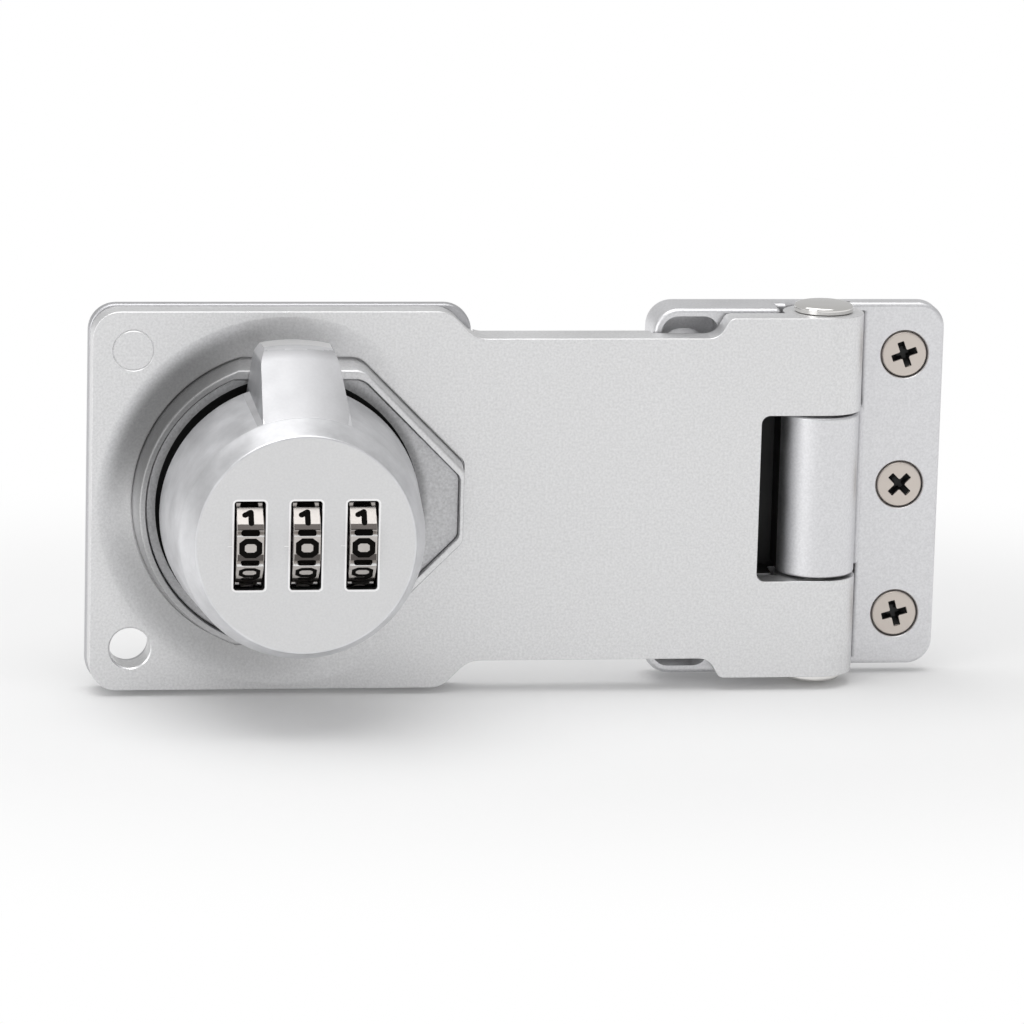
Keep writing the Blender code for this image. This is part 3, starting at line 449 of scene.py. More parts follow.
def refinish(piece: bpy.types.Object, finishes: Sequence[Finish], choose: Callable[[Place, Vector], int]) -> None:
    """Gives some faces of a piece another finish.

    Args:
        piece: the finished piece, which is stood up.
        finishes: the other finishes.
        choose: which of them a face takes, from one, by its middle on the bench and its normal in the scene. A face
            for which it says zero keeps the piece's own.
    """
    for finish in finishes:
        piece.data.materials.append(finish.material())
    for face in piece.data.polygons:
        middle = (face.center.x / MM, face.center.z / MM, -face.center.y / MM)
        index = choose(middle, face.normal)
        if index:
            face.material_index = index


def add_node(tree: bpy.types.NodeTree, kind: str, feeds: dict[str | int, object], **settings: object) -> bpy.types.Node:
    """Adds a node to a tree.

    Args:
        tree: the tree.
        kind: the node's type.
        feeds: the socket that feeds each input, or the input's own value.
        settings: the node's properties.

    Returns:
        The node.
    """
    node = tree.nodes.new(kind)
    for key, value in settings.items():
        setattr(node, key, value)
    for key, feed in feeds.items():
        if isinstance(feed, bpy.types.NodeSocket):
            tree.links.new(feed, node.inputs[key])
        else:
            node.inputs[key].default_value = feed
    return node


def reckon(tree: bpy.types.NodeTree, operation: str, *terms: object) -> bpy.types.NodeSocket:
    """The result of one sum on sockets and numbers."""
    return add_node(tree, "ShaderNodeMath", dict(enumerate(terms)), operation=operation).outputs[0]


def reckon_vector(tree: bpy.types.NodeTree, operation: str, *terms: object,
                  result: str = "Vector") -> bpy.types.NodeSocket:
    """The result of one sum on vectors."""
    return add_node(tree, "ShaderNodeVectorMath", dict(enumerate(terms)), operation=operation).outputs[result]


def ranged(tree: bpy.types.NodeTree, value: bpy.types.NodeSocket, span: Point, results: Point,
           curve: str = "LINEAR") -> bpy.types.NodeSocket:
    """Maps a span of a value to a span of results.

    Args:
        tree: the material's node tree.
        value: the value.
        span: its low and high end.
        results: what they give.
        curve: how it runs between them.

    Returns:
        The mapped socket.
    """
    feeds = {"Value": value, "From Min": span[0], "From Max": span[1], "To Min": results[0], "To Max": results[1]}
    return add_node(tree, "ShaderNodeMapRange", feeds, interpolation_type=curve).outputs["Result"]


def measured_from(tree: bpy.types.NodeTree, coords: bpy.types.NodeSocket, center: Place,
                  stretch: Place) -> bpy.types.NodeSocket:
    """Coordinates measured from a center and stretched along each axis."""
    return reckon_vector(tree, "MULTIPLY", reckon_vector(tree, "SUBTRACT", coords, center), stretch)


@dataclass(frozen=True)
class PaintedShade:
    """A patch of painted shade round an upright axis, strongest on one side."""

    center_x: float
    inner_r: float
    outer_r: float
    toward: Point
    amount: float
    spread: float = -0.7

@dataclass(frozen=True)
class MetalFinish:
    """A metal finish with fine grain, slow clouds, small flecks and any patches of painted shade."""

    name: str
    color: tuple[float, float, float]
    roughness: float
    metallic: float = 1.0
    grain: float = 0.0
    grain_size: float = 0.25
    fleck: float = 0.0
    cloud: float = 0.0
    cloud_size: float = 9.0
    bump: float = 0.01
    # Patches of painted shade, each darkening the colour towards one side of an upright axis.
    painted_shade: tuple[PaintedShade, ...] = ()

    def _noise(self, tree: bpy.types.NodeTree, size: float, detail: float, coords: bpy.types.NodeSocket,
               seed: float) -> bpy.types.NodeSocket:
        """A noise whose features are about a size in millimetres.

        Args:
            tree: the material's node tree.
            size: size of the features.
            detail: octaves.
            coords: coordinates to read.
            seed: shifts the pattern.

        Returns:
            The factor socket.
        """
        shift = add_node(tree, "ShaderNodeMapping", {"Vector": coords, "Location": (seed, seed * 0.37, -seed)})
        return add_node(tree, "ShaderNodeTexNoise", {
            "Vector": shift.outputs["Vector"], "Scale": 1.0 / (size * MM), "Detail": detail,
            "Roughness": 0.6}).outputs["Fac"]

    def _spread(self, tree: bpy.types.NodeTree, noise: bpy.types.NodeSocket, middle: float,
                share: float) -> bpy.types.NodeSocket:
        """Maps the middle of a noise to a level and a share of it on either side."""
        return ranged(tree, noise, NOISE_SPAN, (middle * (1.0 - share), middle * (1.0 + share)))

    def _shade_patch(self, tree: bpy.types.NodeTree, coords: bpy.types.NodeSocket, patch: PaintedShade) -> bpy.types.NodeSocket:
        """How much of the colour a patch of painted shade leaves.

        Args:
            tree: the material's node tree.
            coords: coordinates to read.
            patch: the patch.

        Returns:
            The factor socket.
        """
        flat = measured_from(tree, coords, (patch.center_x * MM, 0.0, 0.0), (1.0, 0.0, 1.0))
        radius = reckon_vector(tree, "LENGTH", flat, result="Value")
        toward = Vector((patch.toward[0], 0.0, patch.toward[1])).normalized()
        side = reckon_vector(tree, "DOT_PRODUCT", reckon_vector(tree, "NORMALIZE", flat), toward, result="Value")
        near = ranged(tree, radius, (patch.inner_r * MM, patch.outer_r * MM), (1.0, 0.0), "SMOOTHSTEP")
        facing = ranged(tree, side, (patch.spread, 1.0), (0.0, 1.0), "SMOOTHSTEP")
        return reckon(tree, "MULTIPLY_ADD", reckon(tree, "MULTIPLY", near, facing), -patch.amount, 1.0)

    def build(self) -> bpy.types.Material:
        """Builds the material.

        Returns:
            The material.
        """
        material = bpy.data.materials.new(self.name)
        material.use_nodes = True
        tree = material.node_tree
        shader = tree.nodes["Principled BSDF"]
        shader.inputs["Metallic"].default_value = self.metallic
        shader.inputs["Specular IOR Level"].default_value = 0.5 if self.metallic else 0.02
        coords = add_node(tree, "ShaderNodeTexCoord", {}).outputs["Object"]
        grain = self._noise(tree, self.grain_size, 2.0, coords, 0.0)
        clouds = self._noise(tree, self.cloud_size, 3.0, coords, 0.31)
        strength = reckon(tree, "MULTIPLY", self._spread(tree, grain, 1.0, self.fleck),
                          self._spread(tree, clouds, 1.0, self.cloud))
        # Painted shade: each patch darkens the base colour.
        for patch in self.painted_shade:
            strength = reckon(tree, "MULTIPLY", strength, self._shade_patch(tree, coords, patch))
        tint = add_node(tree, "ShaderNodeVectorMath", {0: self.color, "Scale": strength}, operation="SCALE")
        tree.links.new(tint.outputs["Vector"], shader.inputs["Base Color"])
        tree.links.new(self._spread(tree, clouds, self.roughness, 0.12), shader.inputs["Roughness"])
        if self.grain:
            bump = add_node(tree, "ShaderNodeBump", {
                "Height": grain, "Strength": self.grain, "Distance": self.bump * MM})
            tree.links.new(bump.outputs["Normal"], shader.inputs["Normal"])
        return material


class Finish(Enum):
    """The finishes of the lock."""

    CAST = MetalFinish("satin_zinc", (0.76, 0.76, 0.775), 0.42, grain=0.55, grain_size=0.28, fleck=0.07, cloud=0.02,
                       bump=0.02)
    # The hasp's zinc, with painted shade in the dish to the upper and lower left and on the collar's left wall.
    HASP = MetalFinish("zinc_with_painted_shade", (0.785, 0.785, 0.79), 0.44, grain=0.55, grain_size=0.28, fleck=0.08,
                       cloud=0.02, bump=0.02,
                       painted_shade=(PaintedShade(KNOB_X, 19.6, 22.0, (-0.77, 0.64), 0.58, 0.66),
                                PaintedShade(KNOB_X, 17.4, 24.0, (-0.62, -0.78), 0.36, 0.5),
                                PaintedShade(KNOB_X, 16.8, 17.6, (-0.98, 0.2), 0.28, 0.1)))
    BASE = MetalFinish("base_zinc", (0.54, 0.54, 0.555), 0.45, grain=0.5, grain_size=0.22, fleck=0.05, cloud=0.02,
                       bump=0.02)
    # Coarse zinc of the boss, with painted shadow of the knob beside its foot on the left and on the right.
    BOSS = MetalFinish("coarse_zinc_with_painted_shadow", (0.6, 0.6, 0.61), 0.5, grain=0.9, grain_size=0.3, fleck=0.12, cloud=0.06,
                       bump=0.04,
                       painted_shade=(PaintedShade(KNOB_X, 15.3, 17.0, (-0.8, 0.6), 0.35),
                                PaintedShade(KNOB_X, 15.5, 16.6, (0.94, 0.34), 0.45, 0.3)))
    DRUM = MetalFinish("soft_zinc", (0.74, 0.742, 0.758), 0.43, grain=0.25, grain_size=0.5, fleck=0.015,
                       cloud=0.085, cloud_size=3.6)
    FACE = MetalFinish("matte_zinc", (0.74, 0.74, 0.745), 0.46, grain=0.35, grain_size=0.25, fleck=0.03, cloud=0.02)
    # A darker copy of the drum's zinc on the lug's front: painted shade that holds back the lamp's light there.
    LUG_PAINTED_SHADE = MetalFinish("lug_zinc_painted_shade", (0.55, 0.55, 0.562), 0.52, grain=0.25, grain_size=0.4, fleck=0.02, cloud=0.03,
                      cloud_size=3.0)
    # A darker copy of the drum's zinc on the lug's left flank: painted shade.
    FLANK_PAINTED_SHADE = MetalFinish("lug_flank_painted_shade", (0.5, 0.505, 0.52), 0.4, grain=0.25, grain_size=0.5, fleck=0.02, cloud=0.09,
                        cloud_size=4.0)
    # Pale colour on rims and edges that face the light: painted highlight.
    PAINTED_HIGHLIGHT = MetalFinish("painted_highlight_rim", (0.93, 0.93, 0.93), 0.3, grain=0.2, cloud=0.02)
    # Near black in the boss's groove, the knob's inside, the leaf's well and gap and the screws' crosses: painted
    # shade.
    RECESS_SHADE = MetalFinish("recess_painted_shade", (0.06, 0.06, 0.06), 0.6)
    DIAL = MetalFinish("dial_nickel", (0.54, 0.51, 0.485), 0.3, grain=0.25, grain_size=0.3, fleck=0.03, cloud=0.06,
                       cloud_size=2.0)
    # Dark band low on each dial facet: painted shade.
    DIAL_SHADE = MetalFinish("dial_painted_shade", (0.1, 0.09, 0.085), 0.3, grain=0.25, grain_size=0.3, fleck=0.03,
                             cloud=0.08, cloud_size=1.5)
    # Black of the printed numerals, also laid on the floors of the grip notches as painted shade.
    PAINT = MetalFinish("numeral_black_and_notch_shade", (0.005, 0.0045, 0.004), 0.45, metallic=0.0, grain=0.2, grain_size=0.15,
                        cloud=0.1)
    BRIGHT = MetalFinish("bright_nickel", (0.86, 0.85, 0.83), 0.16, grain=0.15, grain_size=0.6, cloud=0.03)
    SCREW = MetalFinish("warm_nickel", (0.62, 0.565, 0.535), 0.33, grain=0.3, grain_size=0.3, fleck=0.03,
                        cloud=0.05, cloud_size=2.0)
    STEEL = MetalFinish("machined_steel", (0.56, 0.57, 0.58), 0.32, grain=0.3, grain_size=0.3, fleck=0.03,
                        cloud=0.04)
    SPRING = MetalFinish("spring_steel", (0.38, 0.39, 0.41), 0.28, grain=0.2, grain_size=0.2, cloud=0.04)
    BRASS = MetalFinish("sleeve_brass", (0.75, 0.55, 0.24), 0.3, grain=0.2, grain_size=0.3, cloud=0.05)

    def material(self) -> bpy.types.Material:
        """The material of this finish, made once."""
        return bpy.data.materials.get(self.value.name) or self.value.build()


@dataclass(frozen=True)
class Sizes:
    """Sizes that more than one sub-assembly shares, in millimetres, as in the CAD."""

    gap: float = 0.3
    knob_x: float = KNOB_X
    knob_to_end: float = 22.4
    hasp_height: float = 44.6
    hinge_height: float = 42.9
    pin_h: float = 6.15
    barrel_r: float = 4.75
    knuckle_r: float = 4.6
    knuckle_half: float = 9.6
    front_h: float = 10.9
    hasp_back_h: float = 7.3
    base_top_h: float = 7.0
    base_back_h: float = 5.3
    base_right: float = 21.8
    collar_h: float = 14.5
    boss_h: float = 13.7
    lug_h: float = 14.9
    knob_h: float = 16.5
    ring_h: float = 16.4
    cover_top_h: float = 18.3
    shoulder_h: float = 30.35
    face_h: float = 33.95
    hole_r: float = 2.45
    hole_x: float = 17.7
    hole_y: float = 17.4
    foot_orbit: float = 9.6
    foot_r: float = 1.2
    dial_pitch: float = 6.35
    dial_r: float = 5.5
    dial_w: float = 3.05
    dial_sides: int = 10
    pin_r: float = 1.9

    @property
    def knob(self) -> Point:
        """Where the knob's axis stands on the bench."""
        return (self.knob_x, 0.0)

    @property
    def dial_h(self) -> float:
        """Height of the dials' axis."""
        return self.face_h + 1.0 - self.dial_r * math.cos(math.pi / self.dial_sides)

    def collar_outline(self, grow: float, height: float) -> list[Place]:
        """Outline of the opening round the knob.

        Args:
            grow: how far it is grown outwards.
            height: its height.

        Returns:
            Its points.
        """
        radius = 16.35 + grow
        flat = 15.0 + 1.4 * grow
        nose = 19.9 + 0.65 * grow
        reach = (16.6 + grow) * math.sqrt(2)
        meet = math.asin(flat / radius)
        left = -radius * math.cos(meet)
        lower = [(left, -flat, 0.0), (reach - flat, -flat, 2.5), (nose, nose - reach, 1.4)]
        round_side = arc((0.0, 0.0), radius, math.pi - meet, math.pi + meet, 56)[1:-1]
        return level(rounded(mirrored(lower), 12) + round_side, height, self.knob)

    def collar_prism(self, grow: float, low: float, high: float) -> bpy.types.Mesh:
        """The opening's outline drawn straight up between two heights."""
        return lofted([self.collar_outline(grow, height) for height in (low, high)])

    def pin_bore(self) -> bpy.types.Mesh:
        """Cutter of the bore for the hinge pin."""
        return laid_along_y(disc(self.pin_r + self.gap, -30.0, 30.0, steps=48), self.pin_h)


SIZES = Sizes()


@dataclass
class HaspPlate:
    """The hasp's casting: wide end, dish, collar, waist and two knuckles."""

    sizes: Sizes = SIZES
    waist: float = 19.1
    shoulder: float = 18.7
    hip_x: float = -11.8
    corner_r: float = 3.2
    edge: float = 0.55
    wall: float = 2.0
    opening_grow: float = 0.6
    seam_grow: float = 1.48
    seam_depth: float = 0.95
    dish_r: float = 21.8
    dish_floor_r: float = 17.7
    dish_depth: float = 0.6
    dish_full: float = 2.0
    dish_end: float = 15.0
    dish_steps: int = 180
    notch_depth: float = 7.75
    leaf_left: float = -20.15
    back_h: float = 5.7

    def outline(self) -> list[Point]:
        """Outline from the front, with the notch for the middle knuckle.

        Returns:
            Its points.
        """
        sizes = self.sizes
        left = sizes.knob_x - sizes.knob_to_end
        wide = sizes.hasp_height / 2
        end = sizes.hinge_height / 2
        shoulder = sizes.knob_x + self.shoulder
        foot = self.hip_x - (end - self.waist) / math.tan(math.radians(60))
        notch = sizes.knuckle_half + sizes.gap
        corner = self.corner_r
        lower = [(left, -wide, corner), (shoulder, -wide, corner), (shoulder + wide - self.waist, -self.waist, corner),
                 (foot, -self.waist, 2.0), (self.hip_x, -end, 1.0), (2 * sizes.barrel_r, -end, 0.0),
                 (2 * sizes.barrel_r, -notch, 0.0), (-self.notch_depth, -notch, 1.0)]
        return rounded(mirrored(lower))

    def section(self) -> list[Point]:
        """Section of the plate and the barrel, as x and height.

        Returns:
            Its points.
        """
        sizes = self.sizes
        left = sizes.knob_x - sizes.knob_to_end - 2.0
        base_end = sizes.knob_x + sizes.base_right + sizes.gap
        leaf_end = self.leaf_left - sizes.gap
        meet = math.pi - math.asin((sizes.hasp_back_h - sizes.pin_h) / sizes.barrel_r)
        barrel = arc((0.0, sizes.pin_h), sizes.barrel_r, QUARTER, meet - math.tau, 72)
        return [(left, sizes.hasp_back_h), (base_end, sizes.hasp_back_h), (base_end, self.back_h),
                (leaf_end, self.back_h), (leaf_end, sizes.hasp_back_h)] + barrel[::-1] + [(left, sizes.front_h)]

    def collar(self) -> bpy.types.Mesh:
        """The raised rim round the opening, with a soft bright lip.

        Returns:
            A closed ring.
        """
        sizes = self.sizes
        top = sizes.collar_h
        rim = [(1.35, sizes.hasp_back_h + 0.02), (1.35, 9.6), (0.84, top - 0.34), (0.78, top - 0.16),
               (0.68, top - 0.05), (0.54, top), (0.16, top), (0.06, top - 0.05), (0.01, top - 0.12), (0.0, top - 0.2),
               (0.0, sizes.hasp_back_h + 0.02)]
        return lofted([sizes.collar_outline(grow, height) for grow, height in rim], closed=True)

    def dish(self) -> bpy.types.Mesh:
        """Cutter of the shallow dish round the collar, which fades out to the right.

        Returns:
            A closed mesh.
        """
        front, knob = self.sizes.front_h, self.sizes.knob
        rings = [level(arc((0.0, 0.0), 22.6, 0.0, math.tau, self.dish_steps)[:-1], front + 1.0, knob)]
        for step in range(32):
            share = max(0.0, 1.2 - step * 0.05)
            radius = self.dish_floor_r + (self.dish_r - self.dish_floor_r) * share - max(0, step - 24) * 1.8
            rise = 1 - share ** 2
            ring = []
            for x, y in arc((0.0, 0.0), radius, 0.0, math.tau, self.dish_steps)[:-1]:
                near = min(1.0, max(0.0, (self.dish_end - x) / (self.dish_end - self.dish_full)))
                near = near * near * (3 - 2 * near)
                sink = self.dish_depth * (rise * (0.35 + 0.65 * abs(rise)) * near - 0.06 * (1 - near))
                ring.append((knob[0] + x, y, front - sink))
            rings.append(ring)
        return lofted(rings)

    def hole(self) -> bpy.types.Mesh:
        """Cutter of the open corner hole, with soft rims."""
        front, radius = self.sizes.front_h, self.sizes.hole_r - 0.12
        profile = [(0.0, front + 0.5), (radius + 0.7, front + 0.5), (radius + 0.18, front - 0.02),
                   (radius + 0.04, front - 0.12), (radius, front - 0.3), (radius, 0.0), (0.0, 0.0)]
        return turned(profile, (self.sizes.knob_x - self.sizes.hole_x, 0.15 - self.sizes.hole_y), 72)

    def mark(self) -> bpy.types.Mesh:
        """Cutter of the hairline ring where the other hole is closed off."""
        front, radius = self.sizes.front_h, self.sizes.hole_r - 0.12
        profile = [(radius + 0.16, front + 0.05), (radius, front - 0.11), (radius - 0.16, front + 0.05)]
        return turned(profile, (self.sizes.knob_x - self.sizes.hole_x, self.sizes.hole_y + 0.4), 72)

    def build(self) -> None:
        """Builds the casting and hangs it on the hasp's body."""
        sizes = self.sizes
        front = sizes.front_h
        section = slab([self.section()], -sizes.hasp_height, sizes.hasp_height)
        plate = Solid(laid_along_y(section, 0.0)).keep(prism(self.outline(), 0.0, 2 * front))
        inner = self.waist - self.wall
        plate.cut(block(sizes.knob_x + sizes.base_right - 1.0, self.leaf_left + 1.0, -inner, inner, 0.0,
                        sizes.hasp_back_h - 0.02))
        plate.round_edges(self.edge, 4)
        plate.cut(self.dish(), sizes.collar_prism(self.opening_grow, 0.0, 2 * front),
                  sizes.collar_prism(self.seam_grow, front - self.seam_depth, 2 * front))
        plate.join(self.collar())
        plate.cut(self.hole(), self.mark(), sizes.pin_bore())
        piece = plate.finish("hasp_casting", Finish.HASP.material())
        refinish(piece, [Finish.PAINTED_HIGHLIGHT], self._edge_finish)
        place(piece, "hasp", "cast_zinc", ["hasp_plate"])

    def _edge_finish(self, middle: Place, normal: Vector) -> int:
        """One, a painted highlight, for the front edges that face up."""
        on_edge = self.sizes.front_h - self.edge < middle[2] < self.sizes.front_h
        return int(on_edge and 0.35 < normal.z < 0.95 and normal.y < -0.2)


@dataclass
class LockBase:
    """The plate behind the hasp, with the boss that fills the collar."""

    sizes: Sizes = SIZES
    overhang: float = 0.2
    corner_r: float = 3.2
    edge: float = 0.35
    root_h: float = 6.0
    above: float = 20.0
    ring_r: float = 12.2
    groove_r: float = 15.25
    groove_wall: float = 0.4
    groove_floor_h: float = 8.2
    recess_r: float = 10.7
    recess_h: float = 8.9
    hub_r: float = 6.3
    travel: float = 1.2
    ball_angle: float = math.radians(60)
    ball_r: float = 1.2
    ball_floor_h: float = 11.2

    def ramp(self) -> bpy.types.Mesh:
        """Cutter of the ramp that lifts the fence's foot.

        Returns:
            A closed curved trough.
        """
        sizes = self.sizes
        wide = sizes.foot_r + sizes.gap
        margin = math.asin(wide / sizes.foot_orbit)
        slope = self.travel / QUARTER
        floor = sizes.ring_h - 2.5 - sizes.gap - slope * margin
        rings = []
        for index in range(25):
            share = index / 24
            angle = 1.5 * math.pi + margin - (QUARTER + 2 * margin) * share
            low = floor + (self.travel + 2 * slope * margin) * share
            spots = [(sizes.foot_orbit - wide, low), (sizes.foot_orbit + wide, low),
                     (sizes.foot_orbit + wide, sizes.ring_h + 0.3), (sizes.foot_orbit - wide, sizes.ring_h + 0.3)]
            rings.append([(sizes.knob_x + radius * math.cos(angle), radius * math.sin(angle), height)
                          for radius, height in spots])
        return lofted(rings)

    def corner_hole(self, x: float, y: float) -> bpy.types.Mesh:
        """Cutter of a corner hole that widens at the back."""
        radius, wide, back = self.sizes.hole_r, self.sizes.hole_r + 0.25, self.sizes.base_back_h
        profile = [(0.0, 8.0), (radius, 8.0), (radius, back + 0.25), (wide, back - 0.02), (wide, 4.0), (0.0, 4.0)]
        return turned(profile, (self.sizes.knob_x + x, y), 64)

    def build(self) -> None:
        """Builds the base and hangs it on the hasp's body."""
        sizes = self.sizes
        half = sizes.hasp_height / 2 + self.overhang
        left = sizes.knob_x - sizes.knob_to_end - self.overhang
        outline = rounded(rectangle(left, sizes.knob_x + sizes.base_right, -half, half, self.corner_r))
        base = Solid(slab([outline], sizes.base_back_h, sizes.base_top_h, self.edge))
        top, ring = sizes.boss_h, sizes.ring_h
        rim = ((-0.05, self.root_h), (-0.05, top - 0.2), (-0.1, top - 0.06), (-0.24, top))
        base.join(lofted([sizes.collar_outline(grow, height) for grow, height in rim]),
                  turned([(0.0, ring), (self.ring_r - 0.15, ring), (self.ring_r, ring - 0.15),
                          (self.ring_r, self.root_h), (0.0, self.root_h)], sizes.knob, 128))
        inner = self.ring_r + self.groove_wall
        groove = [(self.groove_r, self.above), (self.groove_r, self.groove_floor_h), (inner, self.groove_floor_h),
                  (inner, self.above)]
        base.cut(turned(groove, sizes.knob, 128), disc(self.hub_r, 0.0, self.above, sizes.knob),
                 disc(self.recess_r, 0.0, self.recess_h, sizes.knob, 128))
        far = sizes.base_right - (sizes.knob_to_end - sizes.hole_x)
        base.cut(*[self.corner_hole(x, y) for x in (-sizes.hole_x, far) for y in (-sizes.hole_y, sizes.hole_y)])
        spot = (sizes.knob_x + sizes.foot_orbit * math.cos(self.ball_angle),
                sizes.foot_orbit * math.sin(self.ball_angle))
        base.cut(self.ramp(), disc(self.ball_r, self.ball_floor_h, self.above, spot, 48))
        piece = base.finish("lock_base_casting", Finish.BASE.material())
        refinish(piece, [Finish.BOSS, Finish.RECESS_SHADE], self._boss_finish)
        place(piece, "hasp", "cast_zinc", ["lock_base"])

    def _boss_finish(self, middle: Place, _: Vector) -> int:
        """Which finish a face takes.

        Args:
            middle: its middle on the bench.

        Returns:
            One, the coarse finish with painted shadow, for the boss, two, painted shade, for its groove, and zero for
            the plate.
        """
        x, y, height = middle
        if height <= self.sizes.base_top_h + 1.0:
            return 0
        sunk = height < self.sizes.boss_h - 0.3
        in_groove = self.ring_r < math.hypot(x - self.sizes.knob_x, y) < self.groove_r + 0.01
        return 2 if sunk and in_groove else 1


@dataclass
class Knob:
    """The turn knob: tapered drum with a bevelled face, a lug and three slots."""

    sizes: Sizes = SIZES
    foot_r: float = 15.05
    shoulder_r: float = 13.9
    face_r: float = 12.5
    chamber_x: float = 9.7
    chamber_y: float = 5.85
    cover_r: float = 12.5
    slot_w: float = 3.45
    slot_h: float = 10.1
    lug_reach: float = 19.85
    crown_r: float = 7.0
    comb_bay: tuple[float, float, float] = (9.0, 8.6, 24.93)
    foot_bay: tuple[float, float, float] = (1.9, 11.4, 24.45)
    spring_bore: Point = (1.55, 27.92)
    spindle_reach: float = 11.3
    spindle_r: float = 1.2
    screw_bore: Point = (0.85, 21.5)
    screw_spots: tuple[Point, ...] = ((0.0, 10.6), (-7.6, -7.5), (7.6, -7.5))
    inside_r: float = 10.0
    flank_x: float = -4.2
    flank_y: float = 13.2
    lug_front: Place = (6.6, 13.4, 13.95)

    def drum(self) -> bpy.types.Mesh:
        """The turned body with softened rims."""
        sizes = self.sizes
        face, shoulder, foot = sizes.face_h, sizes.shoulder_h, sizes.knob_h
        slope = Vector((self.shoulder_r - self.face_r, shoulder - face)).normalized()
        side = Vector((self.foot_r - self.shoulder_r, foot - shoulder)).normalized()
        lip = Vector((self.face_r, face)) + slope * 0.25
        above = Vector((self.shoulder_r, shoulder)) - slope * 0.2
        below = Vector((self.shoulder_r, shoulder)) + side * 0.2
        profile = [(0.0, face), (self.face_r - 0.25, face), (self.face_r - 0.06, face - 0.05), tuple(lip),
                   tuple(above), (self.shoulder_r - 0.03, shoulder), tuple(below),
                   (self.foot_r - 0.02, foot + 0.4), (self.foot_r - 0.08, foot + 0.12), (self.foot_r - 0.3, foot),
                   (0.0, foot)]
        return turned(profile, sizes.knob, 192)

    def lug(self) -> bpy.types.Mesh:
        """The lug, which is the cam that traps the collar.

        Returns:
            A closed mesh with soft edges.
        """
        sizes = self.sizes
        beyond = self.lug_reach + 0.3
        tip = sizes.lug_h + 5.0
        rings = []
        for height, draft in ((sizes.lug_h, 0.0), (sizes.shoulder_h, 0.5)):
            corners = [(-5.8 + draft, 9.0, 0.0), (6.5 - draft, 9.0, 0.0), (4.75 - draft, beyond, 2.5),
                       (-4.1 + draft, beyond, 2.5)]
            rings.append(level(rounded(corners, 14), height, sizes.knob))
        slope = Vector((self.lug_reach - self.shoulder_r, tip - sizes.shoulder_h)).normalized()
        lean = math.atan2(slope.x, -slope.y)
        middle = Vector((self.lug_reach - self.crown_r, tip - self.crown_r * math.tan(lean / 2)))
        crown = arc((middle.x, middle.y), self.crown_r, lean, 0.0, 12)
        profile = [(0.0, sizes.shoulder_h - 0.05), (self.shoulder_r - 0.05, sizes.shoulder_h - 0.05)] + crown + [
                   (self.lug_reach, sizes.lug_h), (0.0, sizes.lug_h)]
        lug = Solid(lofted(rings)).keep(turned(profile, sizes.knob, 192))
        return lug.round_edges(0.4, 4, 40.0).mesh

    def slot(self, x: float) -> bpy.types.Mesh:
        """Cutter of one slot, with a small chamfer at the face.

        Args:
            x: middle of the slot.

        Returns:
            A closed mesh.
        """
        face = self.sizes.face_h
        rings = []
        for grow, height in ((0.0, self.sizes.dial_h), (0.0, face - 0.12), (0.05, face - 0.04), (0.26, face - 0.03),
                             (0.28, face + 0.05)):
            half = self.slot_w / 2 + grow
            corners = rectangle(x - half, x + half, -self.slot_h / 2 - grow, self.slot_h / 2 + grow, 0.3 + grow)
            rings.append(level(rounded(corners, 6), height))
        return lofted(rings)

    def hollows(self) -> list[bpy.types.Mesh]:
        """Cutters of all the bays behind the face.

        Returns:
            Closed meshes.
        """
        sizes = self.sizes
        x, below, axis = sizes.knob_x, sizes.lug_h - 0.3, sizes.dial_h
        comb, foot = self.comb_bay, self.foot_bay
        bays = [
            disc(self.cover_r + 0.3, below, sizes.cover_top_h + 0.3, sizes.knob, 128),
            block(x - self.chamber_x, x + self.chamber_x, -self.chamber_y, self.chamber_y, below, sizes.face_h - 1.0),
            block(x - comb[0], x + comb[0], 0.0, comb[1], below, comb[2]),
            block(x - foot[0], x + foot[0], -foot[1], 0.0, below, foot[2]),
            disc(self.spring_bore[0], below, self.spring_bore[1], (x, -sizes.foot_orbit), 48),
            block(x - self.spindle_reach, x + self.spindle_reach, -self.spindle_r, self.spindle_r, below, axis),
            laid_along_x(disc(self.spindle_r, -self.spindle_reach, self.spindle_reach, steps=48), (x, 0.0, axis)),
        ]
        bays += [disc(self.screw_bore[0], below, self.screw_bore[1], (x + dx, dy), 32)
                 for dx, dy in self.screw_spots]
        bays += [self.slot(x + (index - 1) * sizes.dial_pitch) for index in range(3)]
        return bays

    def index_marks(self) -> list[bpy.types.Mesh]:
        """Cutters of the hairline marks on the left of the slots.

        Returns:
            Closed meshes.
        """
        sizes = self.sizes
        marks = []
        for index in range(3):
            right = sizes.knob_x + (index - 1) * sizes.dial_pitch - self.slot_w / 2 - 0.25
            marks.append(block(right - 0.5, right, -0.12, 0.0, sizes.face_h - 0.09, sizes.face_h + 0.1))
        return marks

    def build(self) -> None:
        """Builds the casting and hangs it on the knob's body."""
        knob = Solid(self.drum()).join(self.lug())
        knob.cut(*self.hollows(), *self.index_marks())
        piece = knob.finish("knob_casting", Finish.DRUM.material())
        refinish(piece, [Finish.FLANK_PAINTED_SHADE, Finish.FACE, Finish.PAINTED_HIGHLIGHT, Finish.LUG_PAINTED_SHADE, Finish.RECESS_SHADE], self._knob_finish)
        place(piece, "knob", "cast_zinc", ["knob_shell"])

